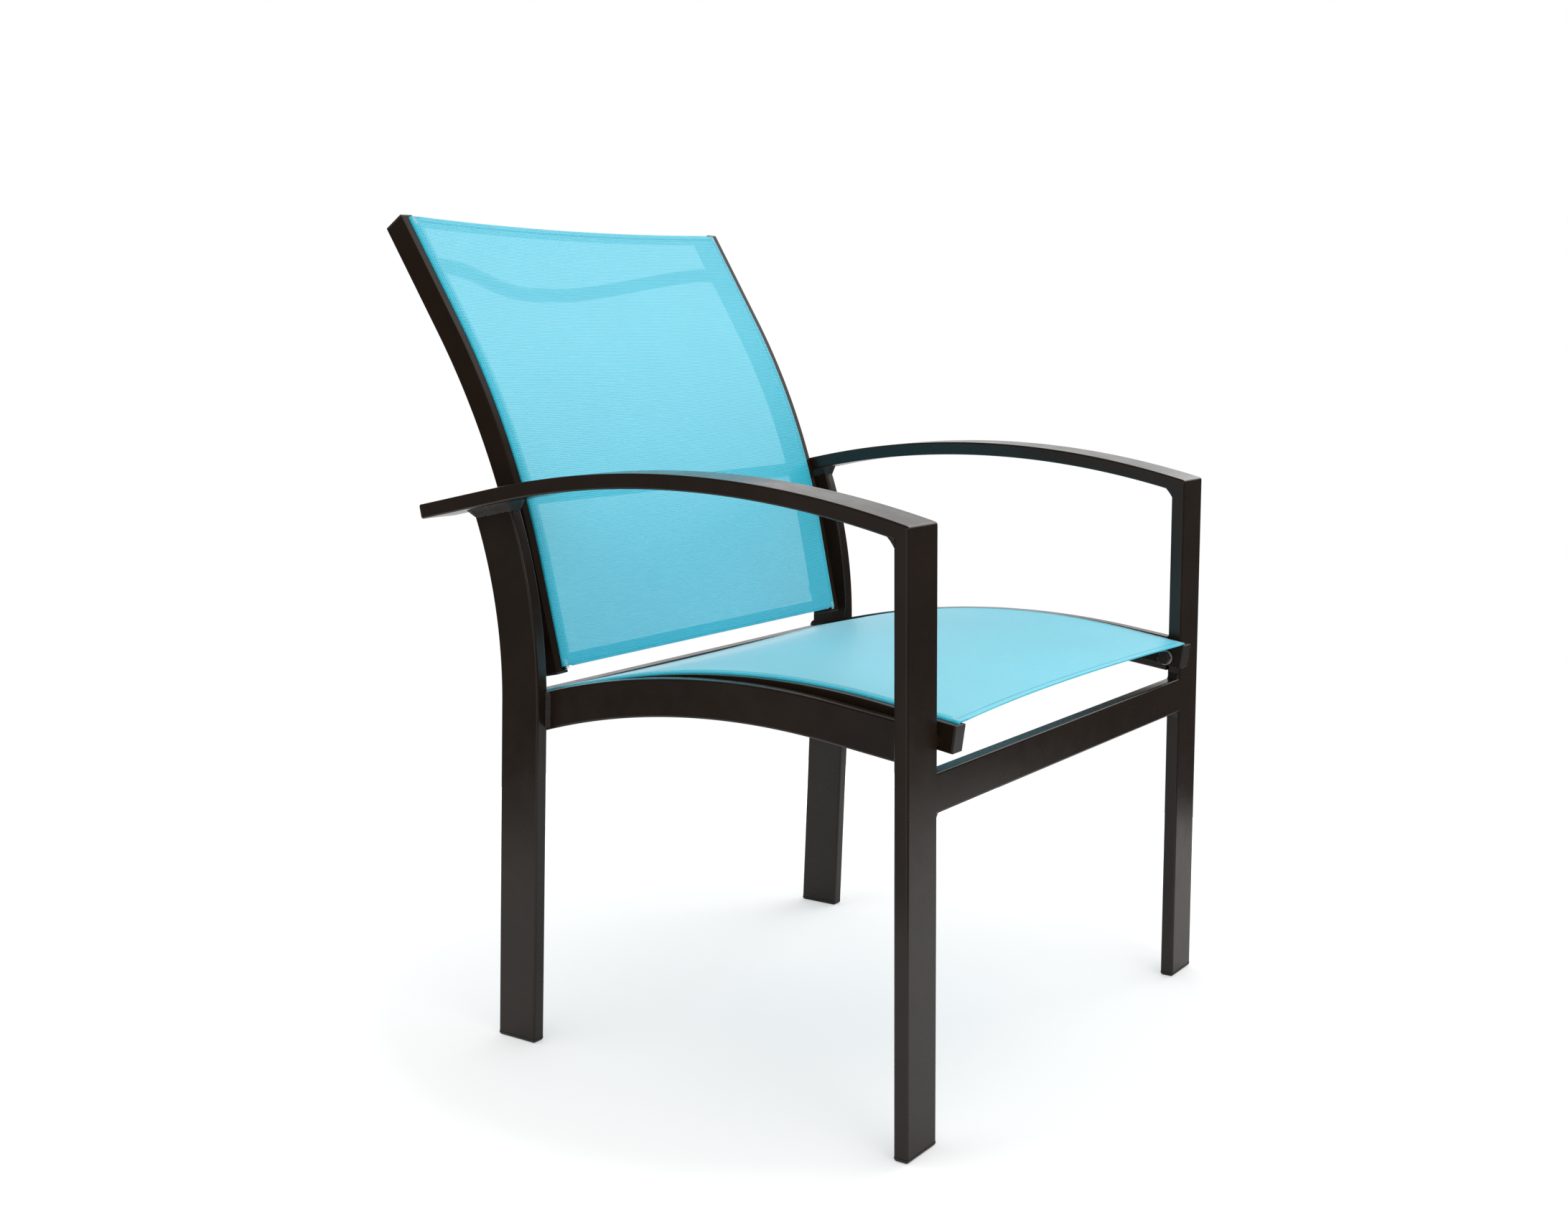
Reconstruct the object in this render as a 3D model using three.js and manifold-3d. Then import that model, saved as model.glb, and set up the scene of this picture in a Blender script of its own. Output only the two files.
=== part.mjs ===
// A patio chair: two mesh slings stretched between grooved rails on a welded tube frame.
// Millimetres. +X is the sitter's left, +Y the back of the chair and +Z up, with the floor at z = 0.

import * as THREE from "three";
import { mergeVertices } from "three/addons/utils/BufferGeometryUtils.js";
import Module from "manifold-3d";

const wasm = await Module();
wasm.setup();

// Fits and cuts
const GAP = 0.3; // between two pieces that touch
const OVERRUN = 90; // how far a cut, or what it trims, runs past the piece

// Frame: the broad tube of the arms and front legs, and its wall
const CHAIR_WIDTH = 637;
const BROAD_TUBE = 50.8;
const TUBE_THICKNESS = 15;
const TUBE_CORNER = 2.5;
const TUBE_WALL = 1.8;

// Arm: its top face is an arc with a straight tail
const ARM_CREST = { y: 272, z: 607.5 };
const ARM_RADIUS = 1060;
const ARM_BEND_END_Y = 480;
const ARM_REAR_Y = 587.5;

// Rear leg: its front edge leans forward to the bend and back above it
const REAR_LEG_SET_IN = 25.4; // from the arm's outer face to the leg's
const REAR_FOOT_Y = 473.6;
const REAR_LEG_LEAN = THREE.MathUtils.degToRad(-3.09);
const REAR_LEG_BEND_Z = 360;
const REAR_LEG_RADIUS = 528;

// Side rail, front apron and rear crossbar: the narrower tube on edge
const RAIL_TUBE = 38.1;
const SIDE_RAIL_CREST = { y: 200, z: 410.6 };
const SIDE_RAIL_RADIUS = 1040;
const APRON_TOP_Z = 349.4;
const CROSSBAR_TOP_Z = 369;
const CROSSBAR_FRONT_Y = 488.7;

// Sling rail: an extrusion with a keyhole groove in its face and a hollow chamber behind it
const SLING_RAIL_WIDTH = 17;
const SLING_RAIL_DEPTH = 26;
const SLING_RAIL_CORNER = 2.2;
const SLING_RAIL_WALL = 1.7;
const GROOVE_CENTRE = 7.5; // from the rail's outer face
const SLOT_WIDTH = 2.4;
const LIP_CORNER = 0.6;
const BORE_RADIUS = 3.5;
const BORE_DEPTH = 6.8; // of the bore's centre below the face
const CHAMBER_DEPTH = 12; // of the chamber's near wall below the face

// Seat rail: straight, arc, straight
const SEAT_SIDE_GAP = 1.5; // between the seat rail and the side rail beside it
const SEAT_CREST = { y: 195, z: 413 };
const SEAT_RADIUS = 900;
const SEAT_FRONT_Y = -15.2;
const SEAT_BEND_FROM_Y = 58;
const SEAT_BEND_TO_Y = 400;
const SEAT_REAR_Y = 486;

// Back rail: straight, arc, straight, splayed towards the top
const BACK_SIDE_GAP = 15.9; // between the back rail's foot and the rear leg beside it
const BACK_SPLAY = 9.65; // how far out the rail's top stands from its foot
const BACK_FOOT = { y: 454.2, z: 392 };
const BACK_HEIGHT = 470.5; // from the rail's foot to its top
const BACK_LEAN_LOW = THREE.MathUtils.degToRad(12.12);
const BACK_LEAN_HIGH = THREE.MathUtils.degToRad(31.89);
const BACK_STRAIGHT = 113.4;
const BACK_RADIUS = 788;

// Slings: the cloth, its hems and the pocket round each spline
const CLOTH = 0.9;
const HEM = 13;
const SPLINE_RADIUS = 2;
const SEAT_SAG_FRONT = 6;
const SEAT_SAG_MIDDLE = 8;
const SEAT_FRONT_HOLLOW = 19; // how far the middle of the front edge stands back
const BACK_SAG_TOP = 9;
const BACK_SAG_MIDDLE = 9;

// Spreaders: round bars that hold the sling rails apart
const SPREADER_RADIUS = 8;
const SPREADER_DEPTH = 17; // of the bar's end below the rail's face
const SPIGOT_RADIUS = 4.2;
const SPIGOT_LENGTH = 5;
const SPREADER_STRAIGHT_END = 10;
const SPREADER_FLAT_MIDDLE = 40;
const UPPER_SPREADER_DOWN = 47.5; // along the back rail from its top
const UPPER_SPREADER_BOW = { y: 57, z: -27 };
const LOWER_SPREADER_UP = 184; // along the back rail from its foot
const SEAT_SPREADER_BACK = 232; // along the seat rail from its front end
const SEAT_SPREADER_BOW = { y: 0, z: -36 };

// Plugs that close the tubes and rails
const CAP_PLATE = 2.6;
const CAP_EDGE = 0.8;
const ARM_CAP_STEM = 14;
const RAIL_CAP_STEM = 10;
const GLIDE_HEIGHT = 4;
const GLIDE_EDGE = 2;
const GLIDE_STEM = 18;

// Bolts, spacers and washers
const BOLT_RADIUS = 4;
const BOLT_HEAD_FLATS = 13;
const BOLT_HEAD_HEIGHT = 5.3;
const BOLT_HEAD_EDGE = 0.5;
const BOLT_ENGAGEMENT = 11;
const BOLT_DEPTH = 17.8; // of its axis below the sling rail's face
const SEAT_BOLT_FRONT = 17.2; // along the seat rail from its front end
const SEAT_BOLT_REAR = 22; // along the seat rail from its rear end
const BACK_BOLT_LOW = 30; // along the back rail from its foot
const BACK_BOLT_HIGH = 154;
const WASHER_RADIUS = 8.4;
const WASHER_THICKNESS = 1.6;
const SPACER_RADIUS = 7;

// Facets
const PATH_STEPS = 16;
const CORNER_STEPS = 2;
const GLIDE_EDGE_STEPS = 2;
const BORE_STEPS = 10;
const POCKET_STEPS = 8;
const SPLINE_STEPS = 6;
const ROUND_STEPS = 10;
const SLING_COLUMNS = 10;

// Places that follow from these sizes
const QUARTER = Math.PI / 2;
const armOuter = CHAIR_WIDTH / 2;
const armInner = armOuter - BROAD_TUBE;
const rearLegOuter = armOuter - REAR_LEG_SET_IN;
const rearLegInner = rearLegOuter - TUBE_THICKNESS;
const sideRailOuter = rearLegInner - GAP;
const sideRailInner = sideRailOuter - TUBE_THICKNESS;
const seatOuter = sideRailInner - SEAT_SIDE_GAP;
const backOuter = rearLegInner - BACK_SIDE_GAP;
const backSplay = Math.atan2(BACK_SPLAY, BACK_HEIGHT);
const boltHole = BOLT_RADIUS + GAP;

const finish = {
  frame: { color: 0x2a2320, roughness: 0.42, metalness: 0.35 },
  rail: { color: 0x2c2522, roughness: 0.4, metalness: 0.35 },
  cloth: { color: 0x84d0e6, roughness: 0.75, metalness: 0 },
  spline: { color: 0xd8d4cc, roughness: 0.6, metalness: 0 },
  plastic: { color: 0x332d2a, roughness: 0.6, metalness: 0 },
  bolt: { color: 0x24201e, roughness: 0.4, metalness: 0.8 },
  washer: { color: 0xa8a49e, roughness: 0.3, metalness: 0.9 },
};

// Solids
function solidOf(geometry, mirror = false) {
  const bare = geometry.clone();
  bare.deleteAttribute("normal");
  bare.deleteAttribute("uv");
  if (mirror) bare.applyMatrix4(new THREE.Matrix4().makeScale(-1, 1, 1));
  const merged = mergeVertices(bare);
  const triVerts = new Uint32Array(merged.index.array);
  if (mirror) triVerts.reverse();
  const vertProperties = new Float32Array(merged.getAttribute("position").array);
  return new wasm.Manifold(new wasm.Mesh({ numProp: 3, vertProperties, triVerts }));
}

function geometryOf(solid) {
  const { vertProperties, triVerts } = solid.getMesh();
  const geometry = new THREE.BufferGeometry();
  geometry.setAttribute("position", new THREE.BufferAttribute(vertProperties, 3));
  geometry.setIndex(new THREE.BufferAttribute(triVerts, 1));
  geometry.computeVertexNormals();
  return geometry;
}

function without(geometry, ...cuts) {
  return geometryOf(cuts.reduce((rest, cut) => rest.subtract(solidOf(cut)), solidOf(geometry)));
}

function joined(first, ...others) {
  return geometryOf(others.reduce((whole, other) => whole.add(solidOf(other)), solidOf(first)));
}

function common(geometry, other) {
  return geometryOf(solidOf(geometry).intersect(solidOf(other)));
}

// Sections
function arc(x, y, radius, from, to, steps) {
  return Array.from({ length: steps + 1 }, (_, i) => {
    const angle = THREE.MathUtils.lerp(from, to, i / steps);
    return new THREE.Vector2(x + radius * Math.cos(angle), y + radius * Math.sin(angle));
  });
}

function circle(x, y, radius, steps) {
  return arc(x, y, radius, 0, 4 * QUARTER, steps).slice(0, steps);
}

function roundedBox(x0, y0, x1, y1, corner) {
  return [
    ...arc(x1 - corner, y1 - corner, corner, 0, QUARTER, CORNER_STEPS),
    ...arc(x0 + corner, y1 - corner, corner, QUARTER, 2 * QUARTER, CORNER_STEPS),
    ...arc(x0 + corner, y0 + corner, corner, 2 * QUARTER, 3 * QUARTER, CORNER_STEPS),
    ...arc(x1 - corner, y0 + corner, corner, 3 * QUARTER, 4 * QUARTER, CORNER_STEPS),
  ];
}

function sectionOf(points, ...holes) {
  const shape = new THREE.Shape(points);
  shape.holes = holes.map((hole) => new THREE.Path(hole));
  return shape;
}

// A tube's section, measured inward from its outer face and down from its top or front face
function tubeSection(across, deep, inset = 0) {
  const corner = Math.max(TUBE_CORNER - inset, GAP);
  return sectionOf(roundedBox(inset, inset - deep, across - inset, -inset, corner));
}

// Straight prisms
function upright(shape, from, to) {
  return new THREE.ExtrudeGeometry(shape, { depth: to - from, bevelEnabled: false }).translate(0, 0, from);
}

const toX = new THREE.Matrix4().makeBasis(
  new THREE.Vector3(0, 1, 0),
  new THREE.Vector3(0, 0, 1),
  new THREE.Vector3(1, 0, 0),
);

function across(shape, from, to) {
  return upright(shape, from, to).applyMatrix4(toX);
}

function rounded(shape, thickness, edge, bevelSegments = 1) {
  return new THREE.ExtrudeGeometry(shape, {
    depth: thickness - 2 * edge,
    bevelThickness: edge,
    bevelSize: edge,
    bevelOffset: -edge,
    bevelSegments,
  }).translate(0, 0, edge);
}

function block(low, high) {
  const size = new THREE.Vector3().subVectors(high, low);
  const centre = new THREE.Vector3().addVectors(low, high).multiplyScalar(1 / 2);
  return new THREE.BoxGeometry(size.x, size.y, size.z).translate(centre.x, centre.y, centre.z);
}

// Paths in the side view. An angle is that of the outer face's normal, from straight up towards the back.
class SideArc extends THREE.Curve {
  constructor(x, centre, radius, from, to) {
    super();
    Object.assign(this, { x, centre, radius, from, to });
  }

  getPoint(t, target = new THREE.Vector3()) {
    const angle = THREE.MathUtils.lerp(this.from, this.to, t);
    const y = this.centre.y + this.radius * Math.sin(angle);
    const z = this.centre.z + this.radius * Math.cos(angle);
    return target.set(this.x, y, z);
  }
}

function heading(angle) {
  return new THREE.Vector3(0, Math.cos(angle), -Math.sin(angle));
}

function sidePath({ x, centre, radius, from, to, lead, tail }) {
  const bend = new SideArc(x, centre, radius, from, to);
  const start = bend.getPoint(0);
  const end = bend.getPoint(1);
  const path = new THREE.CurvePath();
  if (lead > 0) path.add(new THREE.LineCurve3(start.clone().addScaledVector(heading(from), -lead), start));
  path.add(bend);
  if (tail > 0) path.add(new THREE.LineCurve3(end, end.clone().addScaledVector(heading(to), tail)));
  return path;
}

// A path over a crest, bent between two places and straight outside them
function crownPath({ x, crest, radius, bendFrom, bendTo, from, to }) {
  const angleAt = (y) => Math.asin((y - crest.y) / radius);
  return sidePath({
    x,
    centre: { y: crest.y, z: crest.z - radius },
    radius,
    from: angleAt(bendFrom),
    to: angleAt(bendTo),
    lead: (bendFrom - from) / Math.cos(angleAt(bendFrom)),
    tail: (to - bendTo) / Math.cos(angleAt(bendTo)),
  });
}

// A rising path that leans from the vertical by one angle below its bend and by another above
function risingPath({ x, foot, radius, leanLow, leanHigh, lead, tail, start = 0 }) {
  const from = leanLow - QUARTER;
  const bendY = foot.y + lead * Math.sin(leanLow);
  const bendZ = foot.z + lead * Math.cos(leanLow);
  const centre = { y: bendY - radius * Math.sin(from), z: bendZ - radius * Math.cos(from) };
  return sidePath({ x, centre, radius, from, to: leanHigh - QUARTER, lead: lead - start, tail });
}

function swept(shape, path, steps = PATH_STEPS) {
  return new THREE.ExtrudeGeometry(shape, { extrudePath: path, steps });
}

// The frame of a path at a distance along it: inward, out of the face, and forward along the path
function stationOf(path, distance) {
  const share = distance / path.getLength();
  const forward = path.getTangent(share);
  const inward = new THREE.Vector3(-1, 0, 0);
  const face = new THREE.Vector3().crossVectors(forward, inward);
  return { point: path.getPoint(share), inward, face, forward };
}

function placeOn(path, distance, inward, depth) {
  const station = stationOf(path, distance);
  return station.point.addScaledVector(station.inward, inward).addScaledVector(station.face, -depth);
}

// Scene graph: each side's pieces are placed once, and the right side mirrors the left.
// The back frame stands on a group of its own that carries its splay.
const chair = new THREE.Group();
const sides = { left: new THREE.Group(), right: new THREE.Group() };
sides.right.scale.x = -1;
const backs = { left: new THREE.Group(), right: new THREE.Group() };
for (const side of ["left", "right"]) {
  backs[side].position.set(backOuter, 0, BACK_FOOT.z);
  backs[side].rotation.y = backSplay;
  backs[side].updateMatrix();
  sides[side].add(backs[side]);
  chair.add(sides[side]);
}

const fromBack = new THREE.Matrix4().makeTranslation(-backOuter, 0, -BACK_FOOT.z);
const splay = backs.left.matrix.clone().multiply(fromBack);

function named(name, geometry, look) {
  const mesh = new THREE.Mesh(geometry, new THREE.MeshStandardMaterial(finish[look]));
  mesh.name = name;
  chair.add(mesh);
  return mesh;
}

// A left and a right copy, at one place and turn within their side's group
function pair(name, geometry, look, { place, turn, groups = sides } = {}) {
  for (const side of ["left", "right"]) {
    const mesh = named(side + "_" + name, geometry, look);
    if (turn) mesh.quaternion.setFromRotationMatrix(turn);
    if (place) mesh.position.copy(place);
    groups[side].add(mesh);
  }
}

// Pieces of the back frame, drawn in chair coordinates and hung on the splayed group
function backPair(name, geometry, look, { place = new THREE.Vector3(), turn } = {}) {
  const offset = new THREE.Vector3().setFromMatrixPosition(fromBack);
  pair(name, geometry, look, { place: place.clone().add(offset), turn, groups: backs });
}

// Arms and legs
const armEnds = { from: 0, to: ARM_REAR_Y - CAP_PLATE - GAP };

function armPath(extra) {
  return crownPath({
    x: armOuter,
    crest: ARM_CREST,
    radius: ARM_RADIUS,
    bendFrom: armEnds.from,
    bendTo: ARM_BEND_END_Y,
    from: armEnds.from - extra.front,
    to: armEnds.to + extra.rear,
  });
}

// The mitre runs from the outer corner to where the leg's rear face meets the arm's underside
const armTopFront = ARM_CREST.z - ARM_RADIUS + Math.sqrt(ARM_RADIUS ** 2 - ARM_CREST.y ** 2);
const undersideRadius = ARM_RADIUS - TUBE_THICKNESS;
const undersideReach = ARM_CREST.y - TUBE_THICKNESS;
const armUnderLeg = ARM_CREST.z - ARM_RADIUS + Math.sqrt(undersideRadius ** 2 - undersideReach ** 2);
const mitreAngle = Math.atan2(armUnderLeg - armTopFront, TUBE_THICKNESS);

// A block that fills one side of the mitre plane: +1 above it, -1 below it
function mitreBlock(side) {
  const reach = 2 * OVERRUN;
  return new THREE.BoxGeometry(reach, reach, reach)
    .translate(0, 0, side * (reach - GAP) / 2)
    .rotateX(mitreAngle)
    .translate(armOuter - BROAD_TUBE / 2, 0, armTopFront);
}

function buildArm() {
  const path = armPath({ front: OVERRUN / 2, rear: 0 });
  const tube = swept(tubeSection(BROAD_TUBE, TUBE_THICKNESS), path, PATH_STEPS + 2);
  const rear = stationOf(path, path.getLength());
  const plug = tubeSection(BROAD_TUBE, TUBE_THICKNESS, TUBE_WALL);
  const socket = upright(plug, -ARM_CAP_STEM - GAP, OVERRUN)
    .applyMatrix4(new THREE.Matrix4().makeBasis(rear.inward, rear.face, rear.forward))
    .translate(rear.point.x, rear.point.y, rear.point.z);
  pair("arm", without(tube, mitreBlock(-1), socket), "frame");
  capEnd("arm_end_cap", path, path.getLength(), armCap(), { across: BROAD_TUBE, deep: TUBE_THICKNESS });
}

function armCap() {
  const stem = roundedBox(
    TUBE_WALL + GAP - BROAD_TUBE / 2,
    TUBE_WALL + GAP - TUBE_THICKNESS / 2,
    BROAD_TUBE / 2 - TUBE_WALL - GAP,
    TUBE_THICKNESS / 2 - TUBE_WALL - GAP,
    TUBE_CORNER / 2,
  );
  return capOf(BROAD_TUBE, TUBE_THICKNESS, TUBE_CORNER, stem, ARM_CAP_STEM);
}

// A push-in cap about its own axis: the plate stands out along +Z and the stem runs back from it
function capOf(width, depth, corner, stem, length) {
  const outline = roundedBox(-width / 2, -depth / 2, width / 2, depth / 2, corner);
  const plate = rounded(sectionOf(outline), CAP_PLATE, CAP_EDGE).translate(0, 0, GAP);
  return joined(plate, upright(sectionOf(stem), -length, GAP + CAP_PLATE / 2));
}

// Set a cap over the end of a path, its plate facing away from the path
function capEnd(name, path, distance, cap, { across: width, deep }, add = pair) {
  const outward = distance > 0 ? 1 : -1;
  const { inward, face, forward } = stationOf(path, distance);
  const turn = new THREE.Matrix4().makeBasis(
    inward.multiplyScalar(outward),
    face,
    forward.clone().multiplyScalar(outward),
  );
  add(name, cap, "plastic", { place: placeOn(path, distance, width / 2, deep / 2), turn });
}

// A foot glide for an upright tube, centred on the tube's section where it meets the floor
function glideOf(sizeX, sizeY, lean) {
  const foot = roundedBox(-sizeX / 2, -sizeY / 2, sizeX / 2, sizeY / 2, TUBE_CORNER);
  const puck = rounded(sectionOf(foot), GLIDE_HEIGHT + GLIDE_EDGE, GLIDE_EDGE, GLIDE_EDGE_STEPS);
  const above = block(new THREE.Vector3(-sizeX, -sizeY, GLIDE_HEIGHT), new THREE.Vector3(sizeX, sizeY, OVERRUN));
  const plug = glidePlug(sizeX, sizeY, TUBE_WALL + GAP);
  return joined(without(puck, above), leanBy(upright(plug, GLIDE_HEIGHT / 2, GLIDE_HEIGHT + GLIDE_STEM), lean));
}

function glidePlug(sizeX, sizeY, inset) {
  const halfX = sizeX / 2 - inset;
  const halfY = sizeY / 2 - inset;
  return sectionOf(roundedBox(-halfX, -halfY, halfX, halfY, TUBE_CORNER / 2));
}

function glideSocket(sizeX, sizeY, lean) {
  return leanBy(upright(glidePlug(sizeX, sizeY, TUBE_WALL), 0, GLIDE_HEIGHT + GLIDE_STEM + GAP), lean);
}

function leanBy(geometry, lean) {
  return geometry.applyMatrix4(new THREE.Matrix4().makeShear(0, 0, 0, 0, 0, Math.tan(lean)));
}

// A bolt's bore along X, open towards the chair's middle
function boltBore(centre, reach) {
  const bore = sectionOf(circle(0, 0, boltHole, ROUND_STEPS));
  return across(bore, centre.x - OVERRUN, reach).translate(0, centre.y, centre.z);
}

function buildFrontLegs(seatBolt) {
  const section = sectionOf(roundedBox(armInner, 0, armOuter, TUBE_THICKNESS, TUBE_CORNER));
  const tube = upright(section, GLIDE_HEIGHT + GAP, armTopFront + OVERRUN / 2);
  const centre = new THREE.Vector3(armOuter - BROAD_TUBE / 2, TUBE_THICKNESS / 2, 0);
  const socket = glideSocket(BROAD_TUBE, TUBE_THICKNESS, 0).translate(centre.x, centre.y, 0);
  const bore = boltBore(seatBolt, armInner + BOLT_ENGAGEMENT + GAP);
  pair("front_leg", without(tube, mitreBlock(1), socket, bore), "frame");
  pair("front_foot_glide", glideOf(BROAD_TUBE, TUBE_THICKNESS, 0), "plastic", { place: centre });
}

function buildRearLegs(backBores) {
  const lead = REAR_LEG_BEND_Z / Math.cos(REAR_LEG_LEAN);
  const bendCentreZ = REAR_LEG_BEND_Z - REAR_LEG_RADIUS * Math.sin(REAR_LEG_LEAN);
  const path = risingPath({
    x: rearLegOuter,
    foot: { y: REAR_FOOT_Y, z: 0 },
    radius: REAR_LEG_RADIUS,
    leanLow: REAR_LEG_LEAN,
    leanHigh: Math.asin((ARM_CREST.z - bendCentreZ) / REAR_LEG_RADIUS),
    lead,
    tail: 0,
  });
  const tube = swept(tubeSection(TUBE_THICKNESS, BROAD_TUBE), path, PATH_STEPS + 4);
  const aboveGlide = block(
    new THREE.Vector3(0, 0, GLIDE_HEIGHT + GAP),
    new THREE.Vector3(CHAIR_WIDTH, ARM_REAR_Y + OVERRUN, ARM_CREST.z + OVERRUN),
  );
  const overArm = sectionOf(roundedBox(-OVERRUN, -TUBE_THICKNESS - GAP, BROAD_TUBE + OVERRUN, OVERRUN, TUBE_CORNER));
  const armCut = swept(overArm, armPath({ front: OVERRUN / 2, rear: 0 }), PATH_STEPS + 2);
  const footDepth = BROAD_TUBE / Math.cos(REAR_LEG_LEAN);
  const centre = new THREE.Vector3(rearLegOuter - TUBE_THICKNESS / 2, REAR_FOOT_Y + footDepth / 2, 0);
  const socket = glideSocket(TUBE_THICKNESS, footDepth, REAR_LEG_LEAN).translate(centre.x, centre.y, 0);
  pair("rear_leg", without(common(tube, aboveGlide), armCut, socket, ...backBores), "frame");
  pair("rear_foot_glide", glideOf(TUBE_THICKNESS, footDepth, REAR_LEG_LEAN), "plastic", { place: centre });
}

// Rails of the welded frame
function buildSideRails(seatBolt) {
  const path = crownPath({
    x: sideRailOuter,
    crest: SIDE_RAIL_CREST,
    radius: SIDE_RAIL_RADIUS,
    bendFrom: 0,
    bendTo: CROSSBAR_FRONT_Y + TUBE_THICKNESS,
    from: 0,
    to: CROSSBAR_FRONT_Y + TUBE_THICKNESS,
  });
  const tube = swept(tubeSection(TUBE_THICKNESS, RAIL_TUBE), path);
  const between = block(
    new THREE.Vector3(0, TUBE_THICKNESS + GAP, 0),
    new THREE.Vector3(CHAIR_WIDTH, CROSSBAR_FRONT_Y - GAP, ARM_CREST.z),
  );
  const bore = boltBore(seatBolt, sideRailInner + BOLT_ENGAGEMENT + GAP);
  pair("side_rail", without(common(tube, between), bore), "frame");
}

function crossTube(name, frontY, topZ, halfLength) {
  const corners = [frontY, topZ - RAIL_TUBE, frontY + TUBE_THICKNESS, topZ];
  named(name, across(sectionOf(roundedBox(...corners, TUBE_CORNER)), -halfLength, halfLength), "frame");
}

// Sling rails
function railSection() {
  const slot = SLOT_WIDTH / 2;
  const opening = Math.asin(slot / BORE_RADIUS);
  const wall = SLING_RAIL_WALL;
  const right = SLING_RAIL_WIDTH - SLING_RAIL_CORNER;
  const low = SLING_RAIL_CORNER - SLING_RAIL_DEPTH;
  const round = SLING_RAIL_CORNER;
  const outline = [
    ...arc(right, -round, round, 0, QUARTER, CORNER_STEPS),
    ...arc(GROOVE_CENTRE + slot + LIP_CORNER, -LIP_CORNER, LIP_CORNER, QUARTER, 2 * QUARTER, 1),
    ...arc(GROOVE_CENTRE, -BORE_DEPTH, BORE_RADIUS, QUARTER - opening, opening - 3 * QUARTER, BORE_STEPS),
    ...arc(GROOVE_CENTRE - slot - LIP_CORNER, -LIP_CORNER, LIP_CORNER, 0, QUARTER, 1),
    ...arc(round, -round, round, QUARTER, 2 * QUARTER, CORNER_STEPS),
    ...arc(round, low, round, 2 * QUARTER, 3 * QUARTER, CORNER_STEPS),
    ...arc(right, low, round, 3 * QUARTER, 4 * QUARTER, CORNER_STEPS),
  ];
  const chamber = [
    new THREE.Vector2(wall, -CHAMBER_DEPTH),
    new THREE.Vector2(wall, wall - SLING_RAIL_DEPTH),
    new THREE.Vector2(SLING_RAIL_WIDTH - wall, wall - SLING_RAIL_DEPTH),
    new THREE.Vector2(SLING_RAIL_WIDTH - wall, -CHAMBER_DEPTH),
  ];
  return sectionOf(outline, chamber);
}

function railCap() {
  const inset = SLING_RAIL_WALL + GAP;
  const stem = roundedBox(
    inset - SLING_RAIL_WIDTH / 2,
    inset - SLING_RAIL_DEPTH / 2,
    SLING_RAIL_WIDTH / 2 - inset,
    SLING_RAIL_DEPTH / 2 - CHAMBER_DEPTH - GAP,
    LIP_CORNER,
  );
  return capOf(SLING_RAIL_WIDTH, SLING_RAIL_DEPTH, SLING_RAIL_CORNER, stem, RAIL_CAP_STEM);
}

function spigotBore(path, distance) {
  const centre = placeOn(path, distance, SLING_RAIL_WIDTH, SPREADER_DEPTH);
  const bore = sectionOf(circle(0, 0, SPIGOT_RADIUS + GAP, ROUND_STEPS));
  const reach = SLING_RAIL_WALL + (SLING_RAIL_WIDTH - GROOVE_CENTRE) / 2;
  return across(bore, centre.x - OVERRUN, centre.x + reach).translate(0, centre.y, centre.z);
}

function buildSlingRails(name, path, bolts, spreaders, add) {
  const bores = [
    ...bolts.map((distance) => {
      const centre = placeOn(path, distance, SLING_RAIL_WIDTH, BOLT_DEPTH);
      return boltBore(centre, centre.x + OVERRUN);
    }),
    ...spreaders.map((distance) => spigotBore(path, distance)),
  ];
  add(name + "_rail", without(swept(railSection(), path), ...bores), "rail");
  const size = { across: SLING_RAIL_WIDTH, deep: SLING_RAIL_DEPTH };
  const [first, last] = name === "seat" ? ["front", "rear"] : ["lower", "upper"];
  capEnd(name + "_rail_" + first + "_cap", path, 0, railCap(), size, add);
  capEnd(name + "_rail_" + last + "_cap", path, path.getLength(), railCap(), size, add);
  const spline = sectionOf(circle(GROOVE_CENTRE, -BORE_DEPTH, SPLINE_RADIUS, SPLINE_STEPS));
  add(name + "_spline", swept(spline, path), "spline");
}

// Slings
function pocketSection() {
  const inner = SPLINE_RADIUS + GAP;
  const outer = BORE_RADIUS - GAP;
  const half = CLOTH / 2;
  const opening = Math.asin(half / outer);
  const pocket = arc(GROOVE_CENTRE, -BORE_DEPTH, outer, QUARTER - opening, opening - 3 * QUARTER, POCKET_STEPS);
  const neck = [
    new THREE.Vector2(GROOVE_CENTRE - half, GAP + CLOTH / 2),
    new THREE.Vector2(GROOVE_CENTRE + half, GAP + CLOTH / 2),
  ];
  return sectionOf([...pocket, ...neck].reverse(), circle(GROOVE_CENTRE, -BORE_DEPTH, inner, POCKET_STEPS));
}

// A closed sheet of cells whose corners are set one by one
function sheetOf(columns, rows, cornerAt) {
  const box = new THREE.BoxGeometry(1, 1, 1, columns, rows, 1);
  const corners = box.getAttribute("position");
  for (let n = 0; n < corners.count; n++) {
    const i = Math.round((corners.getX(n) + 1 / 2) * columns);
    const j = Math.round((corners.getY(n) + 1 / 2) * rows);
    const { x, y, z } = cornerAt(i, j, corners.getZ(n) > 0);
    corners.setXYZ(n, x, y, z);
  }
  return box;
}

// Columns: one cell over each rail's inner lip, and even cells between the rails
function slingColumns(edge, railInner) {
  const between = SLING_COLUMNS - 2;
  const inner = Array.from({ length: between + 1 }, (_, i) => THREE.MathUtils.lerp(-railInner, railInner, i / between));
  return [-edge, ...inner, edge];
}

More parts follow.
